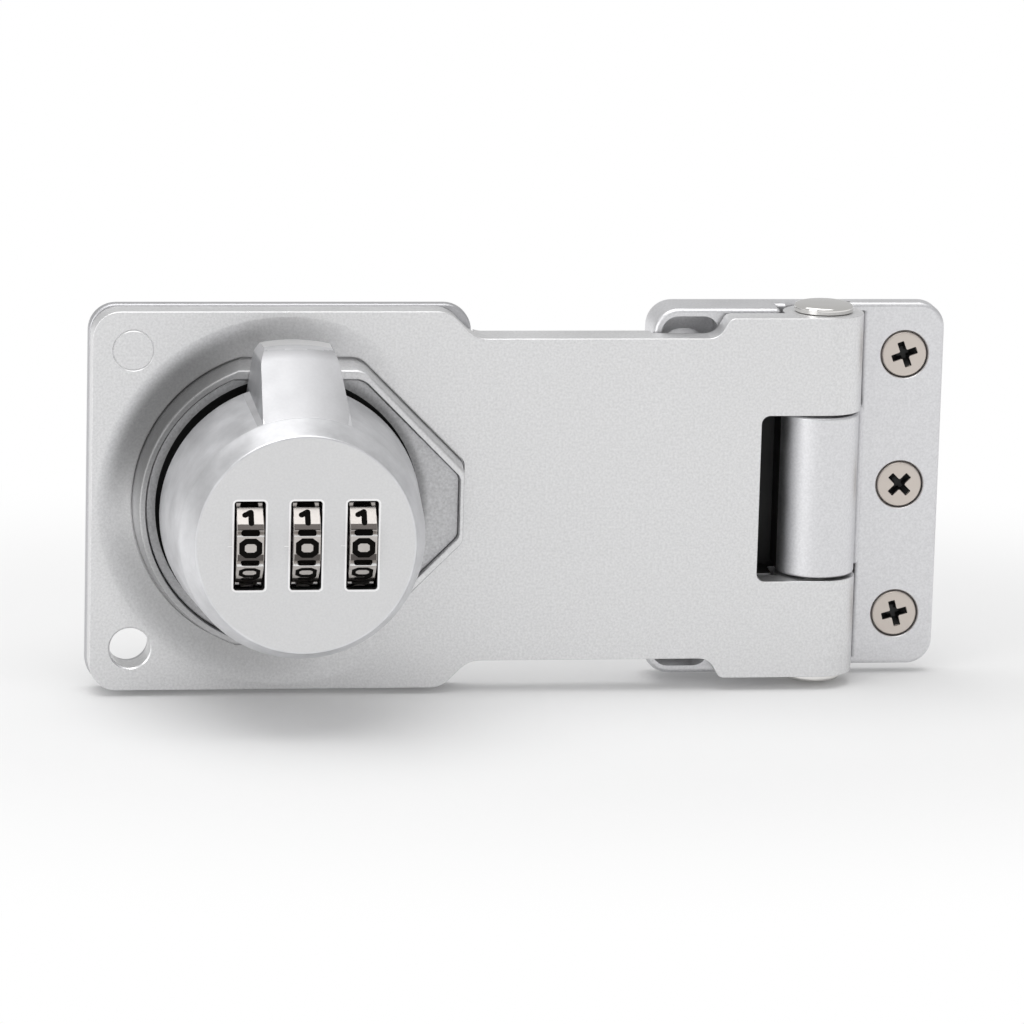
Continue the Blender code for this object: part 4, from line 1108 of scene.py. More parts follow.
    def _knob_finish(self, middle: Place, normal: Vector) -> int:
        """Which finish a face takes.

        Args:
            middle: its middle on the bench.
            normal: its normal in the scene.

        Returns:
            One for painted shade on the lug's left flank, two for the front face, three for a painted highlight on a
            rim, four for painted shade on the lug's front, five for painted shade inside and zero for the rest of the
            drum.
        """
        x, y, height = middle
        off_x = x - self.sizes.knob_x
        reach = math.hypot(off_x, y)
        half, front_y, front_r = self.lug_front
        if off_x < self.flank_x and y > self.flank_y and normal.x < -0.75:
            return 1
        if height > self.sizes.face_h - 0.005:
            return 2
        if y > front_y and abs(off_x) < half and 0.3 < normal.z < 0.97 and reach > front_r:
            return 4
        slot_rim = reach < self.inside_r and height > self.sizes.face_h - 0.11
        foot_rim = reach > self.foot_r - 0.35 and height < self.sizes.knob_h + 0.5
        if slot_rim or foot_rim:
            return 3
        return 5 if reach < self.inside_r and height > self.sizes.dial_h else 0


class Pattern:
    """A Geometry Nodes tree that repeats shapes and ends in real geometry with one material."""

    def __init__(self, name: str, inputs: dict[str, str]) -> None:
        """Starts the tree.

        Args:
            name: name of the tree.
            inputs: socket type of each named input.
        """
        self.tree = bpy.data.node_groups.new(name, "GeometryNodeTree")
        self.tree.interface.new_socket("Geometry", in_out="INPUT", socket_type="NodeSocketGeometry")
        self.keys = {label: self.tree.interface.new_socket(label, in_out="INPUT", socket_type=kind).identifier
                     for label, kind in inputs.items()}
        self.tree.interface.new_socket("Geometry", in_out="OUTPUT", socket_type="NodeSocketGeometry")
        self.source = self.tree.nodes.new("NodeGroupInput")

    def node(self, kind: str, feeds: dict[str | int, object], **settings: object) -> bpy.types.Node:
        """Adds a node to the tree, as add_node does."""
        return add_node(self.tree, kind, feeds, **settings)

    def round_x(self, feeds: dict[str | int, object]) -> bpy.types.NodeSocket:
        """Stands as many instances round the x axis as the input Count says.

        Args:
            feeds: what the instances are and how they are picked.

        Returns:
            The instances.
        """
        count = self.source.outputs["Count"]
        index = self.node("GeometryNodeInputIndex", {}).outputs["Index"]
        angle = reckon(self.tree, "MULTIPLY", reckon(self.tree, "DIVIDE", index, count), -math.tau)
        return self.node("GeometryNodeInstanceOnPoints", {
            "Points": self.node("GeometryNodePoints", {"Count": count}).outputs[0],
            "Rotation": self.node("ShaderNodeCombineXYZ", {"X": angle}).outputs[0], **feeds}).outputs["Instances"]

    def close(self, instances: bpy.types.NodeSocket, merge: float = 0.0) -> None:
        """Ends the tree in Realize Instances and Set Material.

        Args:
            instances: the instances to make real.
            merge: seams closer than this are merged.
        """
        solid = self.node("GeometryNodeRealizeInstances", {"Geometry": instances})
        if merge:
            solid = self.node("GeometryNodeMergeByDistance", {
                "Geometry": solid.outputs["Geometry"], "Distance": merge})
        painted = self.node("GeometryNodeSetMaterial", {
            "Geometry": solid.outputs["Geometry"], "Material": self.source.outputs["Material"]})
        self.node("NodeGroupOutput", {"Geometry": painted.outputs["Geometry"]})

    def bake(self, mesh: bpy.types.Mesh, values: dict[str, object]) -> bpy.types.Mesh:
        """Runs the tree on a mesh.

        Args:
            mesh: the mesh that it repeats or stands shapes on.
            values: value of each named input.

        Returns:
            The plain mesh.
        """
        holder = bpy.data.objects.new("pattern", mesh)
        modifier = holder.modifiers.new("pattern", "NODES")
        modifier.node_group = self.tree
        for label, value in values.items():
            modifier[self.keys[label]] = value
        return evaluated(holder)


def turn_pattern() -> Pattern:
    """A tree that repeats its mesh round the x axis.

    Returns:
        The pattern, with the inputs Count and Material.
    """
    pattern = Pattern("turn_round_x", {"Count": "NodeSocketInt", "Material": "NodeSocketMaterial"})
    single = pattern.node("GeometryNodeGeometryToInstance", {"Geometry": pattern.source.outputs["Geometry"]})
    pattern.close(pattern.round_x({"Instance": single.outputs[0]}), SEAM)
    return pattern


def numeral_pattern() -> Pattern:
    """A tree that stands the numerals of a collection round the x axis, in the order of their names.

    Returns:
        The pattern, with the inputs Numerals, Count and Material.
    """
    pattern = Pattern("numerals_round_x", {"Numerals": "NodeSocketCollection", "Count": "NodeSocketInt",
                                           "Material": "NodeSocketMaterial"})
    numerals = pattern.node("GeometryNodeCollectionInfo", {
        "Collection": pattern.source.outputs["Numerals"], "Separate Children": True})
    index = pattern.node("GeometryNodeInputIndex", {}).outputs["Index"]
    pattern.close(pattern.round_x({
        "Instance": numerals.outputs["Instances"], "Instance Index": index, "Pick Instance": True}))
    return pattern


def spot_pattern() -> Pattern:
    """A tree that stands an object on each vertex, turned by the vertex's own angle.

    Returns:
        The pattern, with the inputs Shape and Material.
    """
    pattern = Pattern("shape_on_spots", {"Shape": "NodeSocketObject", "Material": "NodeSocketMaterial"})
    shape = pattern.node("GeometryNodeObjectInfo", {"Object": pattern.source.outputs["Shape"]})
    angle = pattern.node("GeometryNodeInputNamedAttribute", {"Name": "turn"}, data_type="FLOAT")
    turn = pattern.node("ShaderNodeCombineXYZ", {"Z": angle.outputs["Attribute"]})
    copies = pattern.node("GeometryNodeInstanceOnPoints", {
        "Points": pattern.source.outputs["Geometry"], "Instance": shape.outputs["Geometry"],
        "Rotation": turn.outputs[0]})
    pattern.close(copies.outputs["Instances"])
    return pattern


NUMERAL_STROKES: dict[int, list[tuple[bool, list[Point]]]] = {
    0: [(True, [(-0.5, -1), (0.5, -1), (1, -0.55), (1, 0.55), (0.5, 1), (-0.5, 1), (-1, 0.55), (-1, -0.55)])],
    1: [(False, [(0.1, 0.95), (0.1, -0.75)]), (False, [(-0.6, 0.5), (0.1, 0.95)])],
    2: [(False, [(-1, 0.5), (-0.5, 1), (0.5, 1), (1, 0.6), (1, 0.25), (-0.95, -0.75), (-0.95, -1), (1, -1)])],
    3: [(False, [(-1, 1), (0.5, 1), (1, 0.6), (1, 0.3), (0.45, 0), (1, -0.3), (1, -0.6), (0.5, -1), (-1, -1)])],
    4: [(False, [(0.5, 1), (-1, -0.4), (1, -0.4)]), (False, [(0.5, 1), (0.5, -1)])],
    5: [(False, [(1, 1), (-1, 1), (-1, 0.15), (0.5, 0.15), (1, -0.25), (1, -0.6), (0.5, -1), (-1, -1)])],
    6: [(True, [(-0.5, -1), (0.5, -1), (1, -0.65), (1, -0.3), (0.5, 0.05), (-0.5, 0.05), (-1, -0.3), (-1, -0.65)]),
        (False, [(-1, -0.5), (-1, 0.4), (-0.4, 1), (0.8, 1)])],
    7: [(False, [(-1, 1), (1, 1), (1, 0.6), (-0.2, -1)])],
    8: [(True, [(-0.5, -1), (0.5, -1), (1, -0.55), (1, 0.55), (0.5, 1), (-0.5, 1), (-1, 0.55), (-1, -0.55)]),
        (False, [(-1, 0), (1, 0)])],
    9: [(True, [(-0.5, -0.45), (0.5, -0.45), (1, -0.1), (1, 0.65), (0.5, 1), (-0.5, 1), (-1, 0.65), (-1, -0.1)]),
        (False, [(1, 0.3), (1, -0.55), (0.45, -1.05), (-0.7, -1.05)])],
}


def hoop(points: Sequence[Point], width: float) -> list[list[Point]]:
    """Outlines of a stroke that runs back to its start.

    Args:
        points: the stroke's middle line.
        width: its width.

    Returns:
        One outline on either side of the line.
    """
    path = [Vector(point) for point in points]
    left, right = [], []
    for index, here in enumerate(path):
        entering = (here - path[index - 1]).normalized()
        leaving = (path[(index + 1) % len(path)] - here).normalized()
        middle = (entering + leaving).normalized()
        side = Vector((-middle.y, middle.x)) * (width / 2 / max(0.45, middle.dot(leaving)))
        left.append(tuple(here + side))
        right.append(tuple(here - side))
    return [left, right[::-1]]


def bar(start: Point, end: Point, wide: float) -> list[Point]:
    """Outline of a straight stroke with round ends."""
    angle = math.atan2(end[1] - start[1], end[0] - start[0])
    return (arc(start, wide / 2, angle + QUARTER, angle + 3 * QUARTER, 6)
            + arc(end, wide / 2, angle - QUARTER, angle + QUARTER, 6))


@dataclass
class Dials:
    """The three number wheels with their sunk black numerals."""

    sizes: Sizes = SIZES
    bore_r: float = 2.3
    groove_w: float = 0.7
    groove_depth: float = 0.35
    reach: float = 5.7
    numeral_w: float = 1.95
    numeral_h: float = 1.6
    stroke: float = 0.64
    fine_stroke: float = 0.46
    # Where painted shade lies low on each facet and a painted highlight runs along its upper edge.
    shade_from: float = 0.5
    shade_drop: float = 0.03
    highlight_drop: Point = (0.005, 0.13)
    highlight_angles: Point = (math.radians(13.5), math.radians(16.0))
    sink: float = 0.14
    soft: float = 0.09
    edge: float = 0.07
    grip_half: Point = (1.05, 0.36)

    @property
    def flat_r(self) -> float:
        """Distance from the axis to a facet."""
        return self.reach * math.cos(math.pi / self.sizes.dial_sides)

    def numeral(self, digit: int, low: float, high: float) -> bpy.types.Mesh:
        """One numeral in front of the facet that faces the viewer.

        Args:
            digit: which numeral.
            low: its lower height above the axis.
            high: its upper height.

        Returns:
            A closed mesh.
        """
        solid = None
        wide = self.stroke if digit < 2 else self.fine_stroke
        for closed, points in NUMERAL_STROKES[digit]:
            line = [(x * self.numeral_w / 2, y * self.numeral_h / 2) for x, y in points]
            bars = [hoop(line, wide)] if closed else [[bar(*ends, wide)] for ends in zip(line, line[1:])]
            for outlines in bars:
                stroke = slab(outlines, low, high)
                solid = Solid(stroke) if solid is None else solid.join(stroke)
        return welded(solid.mesh)

    def numerals(self, low: float, high: float) -> bpy.types.Mesh:
        """All ten numerals round the wheel.

        Args:
            low: lower height above the axis.
            high: upper height above the axis.

        Returns:
            One mesh.
        """
        collection = bpy.data.collections.new("numerals")
        bpy.context.scene.collection.children.link(collection)
        for digit in range(self.sizes.dial_sides):
            collection.objects.link(bpy.data.objects.new(f"numeral_{digit}", self.numeral(digit, low, high)))
        mesh = numeral_pattern().bake(bpy.data.meshes.new("numerals"), {
            "Numerals": collection, "Count": self.sizes.dial_sides, "Material": Finish.PAINT.material()})
        for item in list(collection.objects):
            bpy.data.objects.remove(item)
        bpy.data.collections.remove(collection)
        return mesh

    def wedge(self) -> bpy.types.Mesh:
        """One tenth of the wheel: a facet with half a groove on each side, open where the next one joins.

        Returns:
            An open mesh round the x axis, with the facet towards the viewer.
        """
        half_turn = math.pi / self.sizes.dial_sides
        flat = self.flat_r
        half = self.reach * math.sin(half_turn) - self.groove_w / 2
        bottom = self.reach - self.groove_w / 2 * math.sin(half_turn) - self.groove_depth
        ridge = (bottom * math.sin(half_turn), bottom * math.cos(half_turn))
        soft, edge = self.soft, self.edge
        outer = [ridge, (half + soft, flat - 0.16), (half + soft * 0.3, flat - 0.04), (half - soft, flat)]
        outer = [(-y, height) for y, height in outer] + [(-self.shade_from * half, flat)] + outer[::-1]
        wide = self.sizes.dial_w / 2
        rows = [[(x, y * (1 - inset / flat), height - inset) for y, height in outer]
                for x, inset in ((-wide, edge), (-wide + edge, 0.0), (wide - edge, 0.0), (wide, edge))]
        work = bmesh.new()
        grid = [[work.verts.new(point) for point in row] for row in rows]
        for near, far in zip(grid, grid[1:]):
            for index in range(len(outer) - 1):
                work.faces.new((near[index], near[index + 1], far[index + 1], far[index]))
        for row, x in ((grid[0], -wide), (grid[-1], wide)):
            hub = [work.verts.new((x, self.bore_r * math.sin(angle), self.bore_r * math.cos(angle)))
                   for angle in (half_turn, -half_turn)]
            work.faces.new(row + hub)
        inner = [vertex for vertex in work.verts if abs(vertex.co.yz.length - self.bore_r) < 1e-4]
        inner.sort(key=lambda vertex: (vertex.co.x, vertex.co.y))
        work.faces.new((inner[0], inner[1], inner[3], inner[2]))
        mesh = bpy.data.meshes.new("wedge")
        work.to_mesh(mesh)
        work.free()
        return mesh

    def grip(self, low: float, high: float) -> bpy.types.Mesh:
        """Notch in the ridge above the front facet, whose floor is darkened with painted shade.

        Args:
            low: lower height above the axis.
            high: upper height above the axis.

        Returns:
            A closed mesh.
        """
        wide, tall = self.grip_half
        notch = prism(rounded(rectangle(-wide, wide, -tall, tall, 0.3), 5), low, high)
        notch.transform(Matrix.Rotation(-math.pi / self.sizes.dial_sides, 4, "X"))
        return notch

    def build(self) -> None:
        """Builds the three wheels and their numerals."""
        sizes = self.sizes
        nickel = Finish.DIAL.material()
        values = {"Count": sizes.dial_sides, "Material": nickel}
        round_x = turn_pattern()
        floor_r = self.flat_r - self.sink
        body = Solid(welded(round_x.bake(self.wedge(), values), SEAM))
        body.cut(round_x.bake(self.grip(self.reach - 0.95, self.reach + 0.5), values),
                 self.numerals(floor_r, self.flat_r + 0.2))
        # The grip notches get a black floor of painted shade, put in with the printed numerals.
        notch_shade_floor = round_x.bake(self.grip(self.reach - 0.97, self.reach - 0.62), values)
        numerals_and_notch_shade = joined([self.numerals(floor_r - 0.02, self.flat_r - 0.03), notch_shade_floor])
        for index in range(3):
            shift = Matrix.Translation((sizes.knob_x + (index - 1) * sizes.dial_pitch, 0.0, sizes.dial_h))
            for label, mesh, material in (("dial_face", body.mesh, nickel),
                                          ("dial_numerals", numerals_and_notch_shade, Finish.PAINT.material())):
                copy = mesh.copy()
                copy.transform(shift)
                piece = Solid(copy).finish(f"{label}_{index + 1}", material, 28.0)
                nodes = [f"dial_wheel_{index + 1}"] if label == "dial_face" else []
                if nodes:
                    refinish(piece, [Finish.DIAL_SHADE, Finish.PAINTED_HIGHLIGHT], self._facet_finish)
                place(piece, f"dial_{index + 1}", "bright_nickel", nodes)

    def _facet_finish(self, middle: Place, _: Vector) -> int:
        """Which finish a face takes.

        Args:
            middle: its middle on the bench.

        Returns:
            One, painted shade, low on a facet, two, a painted highlight, on its upper edge, and zero elsewhere.
        """
        sector = math.tau / self.sizes.dial_sides
        rise, out = middle[1], middle[2] - self.sizes.dial_h
        angle = math.atan2(rise, out)
        angle -= sector * round(angle / sector)
        drop = self.flat_r - math.hypot(rise, out) * math.cos(angle)
        if drop < self.shade_drop and angle < -math.atan(self.shade_from * 1.4 / self.flat_r):
            return 1
        near, far = self.highlight_drop
        start, end = self.highlight_angles
        return 2 if near < drop < far and start < angle < end else 0


@dataclass
class HingeLeaf:
    """The leaf's casting with pocketed plate, web, middle knuckle and screw strip, its pin and its screws."""

    sizes: Sizes = SIZES
    height: float = 43.7
    left: float = -20.15
    right: float = 15.25
    rim_end: float = -5.2
    rim_h: float = 6.7
    strip_h: float = 3.0
    edge: float = 0.55
    step_x: float = 5.3
    step_r: float = 0.8
    gap_left: float = 2.6
    gap_floor_h: float = 1.6
    gap_margin: float = 0.9
    well: tuple[float, float, float] = (-8.3, -3.9, 9.85)
    well_floor_h: float = 1.2
    pocket_margin: float = 0.9
    pocket_w: float = 6.9
    pocket_r: float = 2.0
    pocket_floor_h: float = 2.0
    rib: float = 1.5
    back_screw_r: float = 2.95
    screw_x: float = 10.55
    screw_spacing: float = 15.68
    head_r: float = 2.65
    turns: tuple[float, float, float] = (20.0, 45.0, 15.0)

    def section(self) -> list[Point]:
        """Section beside the middle knuckle, as x and height.

        Returns:
            Its points.
        """
        sizes = self.sizes
        radius = sizes.barrel_r + sizes.gap
        meet = math.asin((sizes.pin_h - self.strip_h) / radius)
        trough = arc((0.0, sizes.pin_h), radius, -meet, meet - math.pi, 36)
        return [(self.left, 0.0), (self.right, 0.0), (self.right, self.strip_h)] + trough + [
            (self.rim_end, self.strip_h), (self.rim_end, self.rim_h), (self.left, self.rim_h)]

    def knuckle(self) -> bpy.types.Mesh:
        """The middle knuckle on its foot.

        Returns:
            A closed mesh with soft rims.
        """
        sizes = self.sizes
        radius = sizes.knuckle_r
        foot = [(-radius * 0.95, 0.5), (6.3, 0.5), (6.3, 2.6), (5.9, 2.95), (5.3, 3.3), (4.85, 4.0), (4.64, 5.0)]
        ring = arc((0.0, sizes.pin_h), radius, 0.0, math.pi, 64)
        section = foot + ring + [(-radius, sizes.pin_h - 1.5)]
        body = slab([section], -sizes.knuckle_half, sizes.knuckle_half, 0.35)
        return laid_along_y(body, 0.0)

    def seat(self, x: float, y: float, top: float, radius: float) -> bpy.types.Mesh:
        """Cutter of a countersunk screw seat."""
        profile = [(0.0, top + 0.3), (radius + 0.35, top + 0.3), (radius + 0.08, top - 0.02), (radius, top - 0.12),
                   (radius, top - 0.45), (1.8, top - 1.9), (1.8, -1.0), (0.0, -1.0)]
        return turned(profile, (x, y), 72)

    def build_casting(self) -> None:
        """Builds the leaf's casting."""
        sizes = self.sizes
        half = self.height / 2
        section = laid_along_y(slab([self.section()], -half - 5, half + 5), 0.0)
        outline = rounded(rectangle(self.left, self.right, -half, half, 3.0))
        leaf = Solid(section).keep(prism(outline, -1.0, 12.0))
        leaf.round_edges(self.edge, 4)
        corner = arc((self.step_x + self.step_r, self.strip_h - self.step_r), self.step_r, math.pi, QUARTER, 8)
        gap = [(self.gap_left, self.gap_floor_h), (self.step_x, self.gap_floor_h)] + corner + [
            (self.step_x + self.step_r + 0.01, 4.0), (self.gap_left, 4.0)]
        end = half - self.gap_margin
        well_left, well_right, well_half = self.well
        leaf.cut(laid_along_y(slab([gap], -end, end), 0.0),
                 block(well_left, well_right, -well_half, well_half, self.well_floor_h, 8.0))
        leaf.join(self.knuckle())
        left = self.left + self.pocket_margin
        tall = (self.height - 2 * self.pocket_margin - 2 * self.rib) / 3
        for row in (-1, 0, 1):
            middle = row * (tall + self.rib)
            pocket = rectangle(left, left + self.pocket_w, middle - tall / 2, middle + tall / 2, self.pocket_r)
            spot_y = row * self.screw_spacing
            leaf.cut(prism(rounded(pocket), self.pocket_floor_h, 8.0),
                     self.seat(left + self.pocket_w / 2, spot_y, self.pocket_floor_h, self.back_screw_r))
        for row in (-1, 0, 1):
            leaf.cut(self.seat(self.screw_x, row * self.screw_spacing, self.strip_h, self.head_r + 0.2))
        leaf.cut(sizes.pin_bore())
        piece = leaf.finish("leaf_casting", Finish.CAST.material())
        refinish(piece, [Finish.RECESS_SHADE], self._leaf_finish)
        place(piece, "leaf", "cast_zinc", ["hinge_leaf"])

    def _leaf_finish(self, middle: Place, _: Vector) -> int:
        """Which finish a face takes.

        Args:
            middle: its middle on the bench.

        Returns:
            One, painted shade, in the well behind the middle knuckle and in the gap beside the barrel, or zero.
        """
        x, y, height = middle
        left, right, half = self.well
        in_well = left - 0.01 < x < right and abs(y) < half + 1.5 and height < self.rim_h + 0.1
        off_knuckle = math.hypot(x, height - self.sizes.pin_h) > self.sizes.knuckle_r + 0.02
        in_gap = 2.5 < x < self.step_x + 0.02 and abs(y) > half and 1.2 < height < 2.25
        return int((in_well and off_knuckle) or in_gap)

    def build_pin(self) -> None:
        """Builds the hinge pin with its low domed heads."""
        sizes = self.sizes
        half = sizes.hinge_height / 2 + 0.05
        top = half + 1.2
        upper = [(0.0, top), (1.2, top - 0.015), (2.3, top - 0.09), (2.9, top - 0.2), (3.3, top - 0.36),
                 (3.42, top - 0.52), (3.48, top - 0.7), (3.44, half + 0.08), (3.34, half), (sizes.pin_r, half)]
        lower = [(radius, -height) for radius, height in reversed(upper)]
        pin = Solid(laid_along_y(turned(upper + lower, steps=96), sizes.pin_h))
        place(pin.finish("hinge_pin_dressed", Finish.BRIGHT.material()), "leaf", "bright_nickel", ["hinge_pin"])

    def cross(self) -> bpy.types.Mesh:
        """Cutter of a cross recess that narrows with depth.

        Returns:
            A closed mesh round the screw's axis.
        """
        rings = []
        for reach, wide, height in ((1.62, 0.44, 0.2), (1.5, 0.38, -0.25), (0.75, 0.25, -1.35)):
            arm = [(wide, -reach, 0.12), (wide, -wide, 0.16), (reach, -wide, 0.12), (reach, wide, 0.12),
                   (wide, wide, 0.16), (wide, reach, 0.12), (-wide, reach, 0.12), (-wide, wide, 0.16),
                   (-reach, wide, 0.12), (-reach, -wide, 0.12), (-wide, -wide, 0.16), (-wide, -reach, 0.12)]
            rings.append(level(rounded(arm, 5), height))
        return lofted(rings)

    def build_screws(self) -> None:
        """Builds the leaf's three screws, each with its cross turned its own way."""
        top = self.strip_h
        r = self.head_r
        profile = [(0.0, 0.0), (r - 0.28, -0.01), (r - 0.1, -0.05), (r, -0.16), (r, -0.3), (1.5, -1.6),
                   (1.5, 0.3 - top), (0.0, 0.3 - top)]
        shape = linked("screw_shape", Solid(turned(profile, steps=72)).cut(self.cross()).mesh)
        spots = bpy.data.meshes.new("screw_spots")
        spots.from_pydata([(self.screw_x, (1 - row) * self.screw_spacing, top) for row in range(3)], [], [])
        turn = spots.attributes.new("turn", "FLOAT", "POINT")
        turn.data.foreach_set("value", [math.radians(angle) for angle in self.turns])
        mesh = spot_pattern().bake(spots, {"Shape": shape, "Material": Finish.SCREW.material()})
        bpy.data.objects.remove(shape)
        nodes = [f"leaf_screw_{number}" for number in (1, 2, 3)]
        piece = Solid(mesh).finish("leaf_screw_set", Finish.SCREW.material())
        refinish(piece, [Finish.RECESS_SHADE], self._cross_finish)
        place(piece, "leaf", "warm_nickel", nodes)

    def _cross_finish(self, middle: Place, _: Vector) -> int:
        """One, painted shade, for a face inside a screw's cross."""
        x, y, height = middle
        reach = math.hypot(x - self.screw_x, y - round(y / self.screw_spacing) * self.screw_spacing)
        return int(reach < 1.7 and self.strip_h - 1.4 < height < self.strip_h - 0.1)

    def build(self) -> None:
        """Builds the casting, the pin and the screws."""
        self.build_casting()
        self.build_pin()
        self.build_screws()


@dataclass
class Retainer:
    """Washer and screw that hold the knob's hub behind the base."""

    sizes: Sizes = SIZES
    low: float = 7.4
    high: float = 8.6
    washer_r: float = 9.5
    bore_r: float = 1.55
    soft: float = 0.15
    head_h: float = 1.4

    def build(self) -> None:
        """Builds both and hangs them on the knob's body."""
        radius, soft = self.washer_r, self.soft
        ring = [(self.bore_r, self.high), (radius - soft, self.high), (radius, self.high - soft),
                (radius, self.low + soft), (radius - soft, self.low), (self.bore_r, self.low)]
        washer = Solid(turned(ring, self.sizes.knob, 128))
        place(washer.finish("washer_dressed", Finish.STEEL.material()), "knob", "steel", ["retaining_washer"])
        under = self.low - 0.05
        low = under - self.head_h
        head = [(0.0, under + 5.05), (1.4, under + 5.05), (1.4, under), (2.75, under), (2.9, under - 0.15),
                (2.9, low + 0.55), (2.72, low + 0.22), (2.3, low + 0.05), (0.0, low)]
        screw = Solid(turned(head, self.sizes.knob, 96))
        cross = HingeLeaf().cross()
        cross.transform(Matrix.Translation((self.sizes.knob_x, 0.0, low)) @ Matrix.Rotation(math.pi, 4, "X"))
        screw.cut(cross)
        place(screw.finish("retainer_screw_dressed", Finish.STEEL.material()), "knob", "steel",
              ["retaining_screw"])


def dress_inner_nodes() -> None:
    """Gives each CAD node that stays in sight of a slot or a gap its worked finish."""
    finishes = {"cast_zinc": Finish.CAST, "bright_nickel": Finish.BRIGHT, "warm_nickel": Finish.SCREW,
                "steel": Finish.STEEL, "spring_steel": Finish.SPRING, "sleeve_brass": Finish.BRASS}
    slots = {entry["node"]: entry["material_slot"] for entry in frame["record"]["subparts"]}
    for name, node in frame["nodes"].items():
        if node.hide_render:
            continue
        material = finishes[slots[name]].material()
        if not node.data.materials:
            node.data.materials.append(material)
        for index in range(len(node.data.materials)):
            node.data.materials[index] = material


def build_fence_spring() -> None:
    """Builds the spring in front of the fence as one fixed shape; in the lock it shortens as the knob lifts the fence.
    """
    node = frame["nodes"]["fence_spring"]
    mesh = node.data.copy()
    mesh.transform(STAND_UP.inverted() @ node.matrix_world)
    piece = Solid(mesh).finish("fence_spring_coil", Finish.SPRING.material(), 40.0)
    place(piece, "knob", "spring_steel", ["fence_spring"])
    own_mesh(piece)


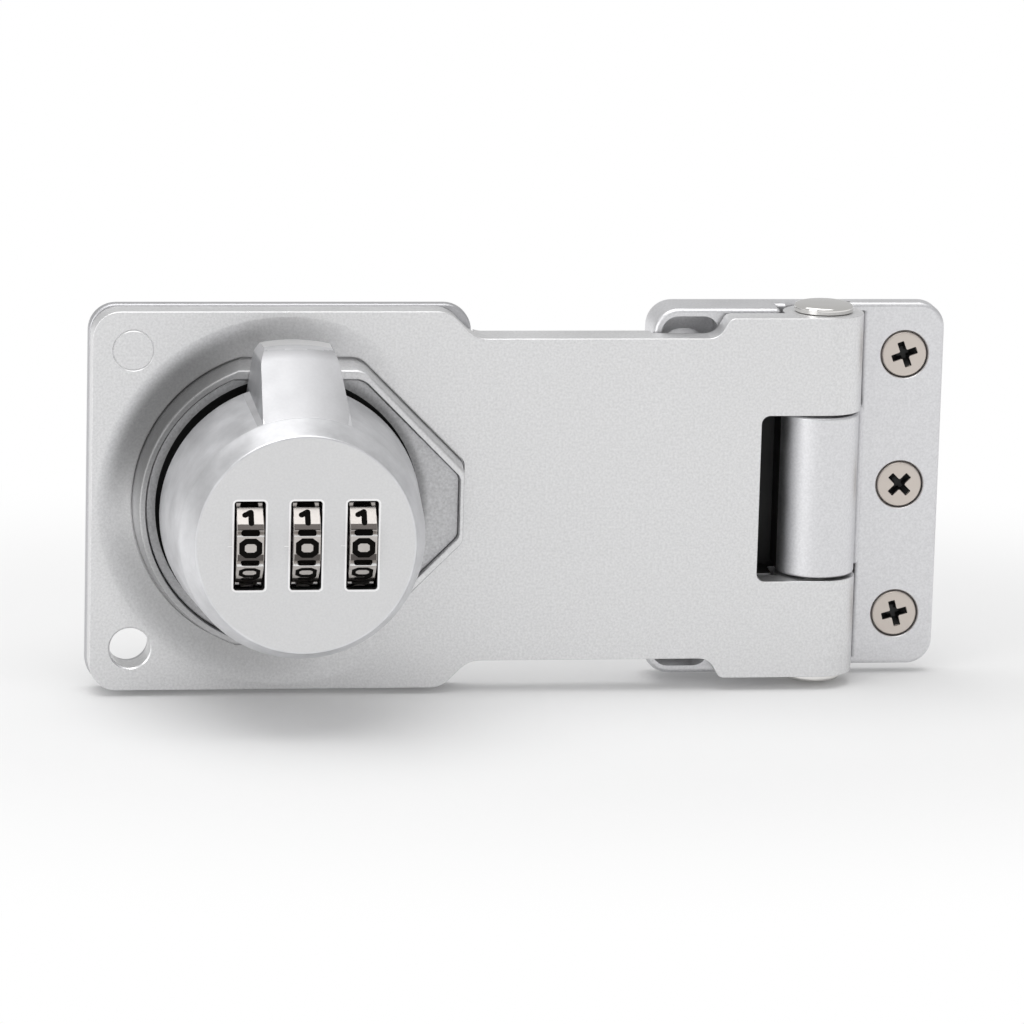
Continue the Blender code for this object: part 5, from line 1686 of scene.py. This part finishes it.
@dataclass
class Studio:
    """Pale floor, soft lamps and the photograph's camera."""

    camera_at: tuple[float, float, float] = (-0.13785, -0.69399, 0.14987)
    target: tuple[float, float, float] = (-0.0369, -0.0109, -0.00136)
    roll: float = math.radians(1.51)
    lens: float = 213.97
    floor_z: float = -0.02305
    floor_half: float = 4.0
    floor_gain: float = 0.85
    floor_glow: float = 0.08
    floor_fade: Point = (0.05, 0.11)
    fade_middle: Place = (-0.036, 0.0, 0.0)
    fade_stretch: Place = (0.7, 1.0, 0.0)
    world_light: float = 0.72
    world_shown: float = 1.0
    lamp_target: Place = (-0.04, 0.0, 0.0)

    def build_camera(self) -> None:
        """Stands the camera where the photograph was taken."""
        data = bpy.data.cameras.new("camera")
        data.lens = self.lens
        data.sensor_width = 36.0
        data.clip_start, data.clip_end = 0.01, 20.0
        camera = linked("camera", data)
        ahead = (Vector(self.target) - Vector(self.camera_at)).normalized()
        level = ahead.cross(Vector((0.0, 0.0, 1.0))).normalized()
        above = level.cross(ahead)
        right = level * math.cos(self.roll) + above * math.sin(self.roll)
        up = above * math.cos(self.roll) - level * math.sin(self.roll)
        turn = Matrix((right, up, -ahead)).transposed().to_4x4()
        camera.matrix_world = Matrix.Translation(self.camera_at) @ turn
        bpy.context.scene.camera = camera

    def build_floor(self) -> None:
        """Lays a wide pale floor that shows as white and keeps the shadow."""
        wide, gain = self.floor_half, self.floor_gain
        floor = linked("floor", block(-wide, wide, -wide, wide, self.floor_z - 0.01, self.floor_z))
        material = bpy.data.materials.new("pale_floor")
        material.use_nodes = True
        tree = material.node_tree
        shader = tree.nodes["Principled BSDF"]
        for label, value in (("Base Color", (0.9, 0.9, 0.9, 1.0)), ("Roughness", 0.6), ("Specular IOR Level", 0.2)):
            shader.inputs[label].default_value = value
        bright = add_node(tree, "ShaderNodeBsdfDiffuse", {"Color": (gain, gain, gain, 1.0)})
        glow = add_node(tree, "ShaderNodeEmission", {"Color": (1.0, 1.0, 1.0, 1.0)})
        coords = add_node(tree, "ShaderNodeTexCoord", {}).outputs["Object"]
        flat = measured_from(tree, coords, self.fade_middle, self.fade_stretch)
        away = reckon_vector(tree, "LENGTH", flat, result="Value")
        fade = ranged(tree, away, self.floor_fade, (self.floor_glow, 1.0), "SMOOTHSTEP")
        shown = add_node(tree, "ShaderNodeMixShader", {"Fac": fade, 1: bright.outputs[0], 2: glow.outputs[0]})
        path = add_node(tree, "ShaderNodeLightPath", {})
        seen = reckon(tree, "MAXIMUM", path.outputs["Is Camera Ray"], path.outputs["Is Glossy Ray"])
        mix = add_node(tree, "ShaderNodeMixShader", {"Fac": seen, 1: shader.outputs[0], 2: shown.outputs[0]})
        output = next(node for node in tree.nodes if node.type == "OUTPUT_MATERIAL")
        tree.links.new(mix.outputs[0], output.inputs["Surface"])
        floor.data.materials.append(material)

    def build_lamp(self, name: str, spot: Sequence[float], size: tuple[float, float], watts: float) -> None:
        """Hangs a soft lamp that faces the lock.

        Args:
            name: its name.
            spot: where it hangs.
            size: width and height.
            watts: its power.
        """
        data = bpy.data.lights.new(name, "AREA")
        data.shape = "RECTANGLE"
        data.size, data.size_y = size
        data.energy = watts
        lamp = linked(name, data)
        lamp.location = spot
        aim = Vector(self.lamp_target) - Vector(spot)
        lamp.rotation_euler = aim.to_track_quat("-Z", "Y").to_euler()

    def build_world(self) -> None:
        """Surrounds the lock with plain pale light."""
        world = bpy.data.worlds.new("studio")
        bpy.context.scene.world = world
        world.use_nodes = True
        tree = world.node_tree
        tree.nodes.clear()
        path = add_node(tree, "ShaderNodeLightPath", {})
        light = add_node(tree, "ShaderNodeBackground", {"Strength": self.world_light})
        shown = add_node(tree, "ShaderNodeBackground", {"Strength": self.world_shown})
        mix = add_node(tree, "ShaderNodeMixShader", {
            "Fac": path.outputs["Is Camera Ray"], 1: light.outputs[0], 2: shown.outputs[0]})
        add_node(tree, "ShaderNodeOutputWorld", {"Surface": mix.outputs[0]})

    def build(self) -> None:
        """Builds the whole studio."""
        bpy.context.scene.view_settings.view_transform = "Standard"
        self.build_camera()
        self.build_floor()
        self.build_world()
        self.build_lamp("overhead_softbox", (-0.12, -0.05, 0.55), (0.7, 0.5), 2.1)
        self.build_lamp("left_softbox", (-0.60, -0.45, 0.15), (0.4, 0.5), 1.3)


def main() -> None:
    """Builds every sub-assembly in order."""
    logging.basicConfig(level=logging.INFO, format="%(name)s: %(message)s")
    Studio().build()
    HingeLeaf().build()
    HaspPlate().build()
    LockBase().build()
    Knob().build()
    Dials().build()
    Retainer().build()
    build_fence_spring()
    dress_inner_nodes()


if __name__ == "__main__":
    main()
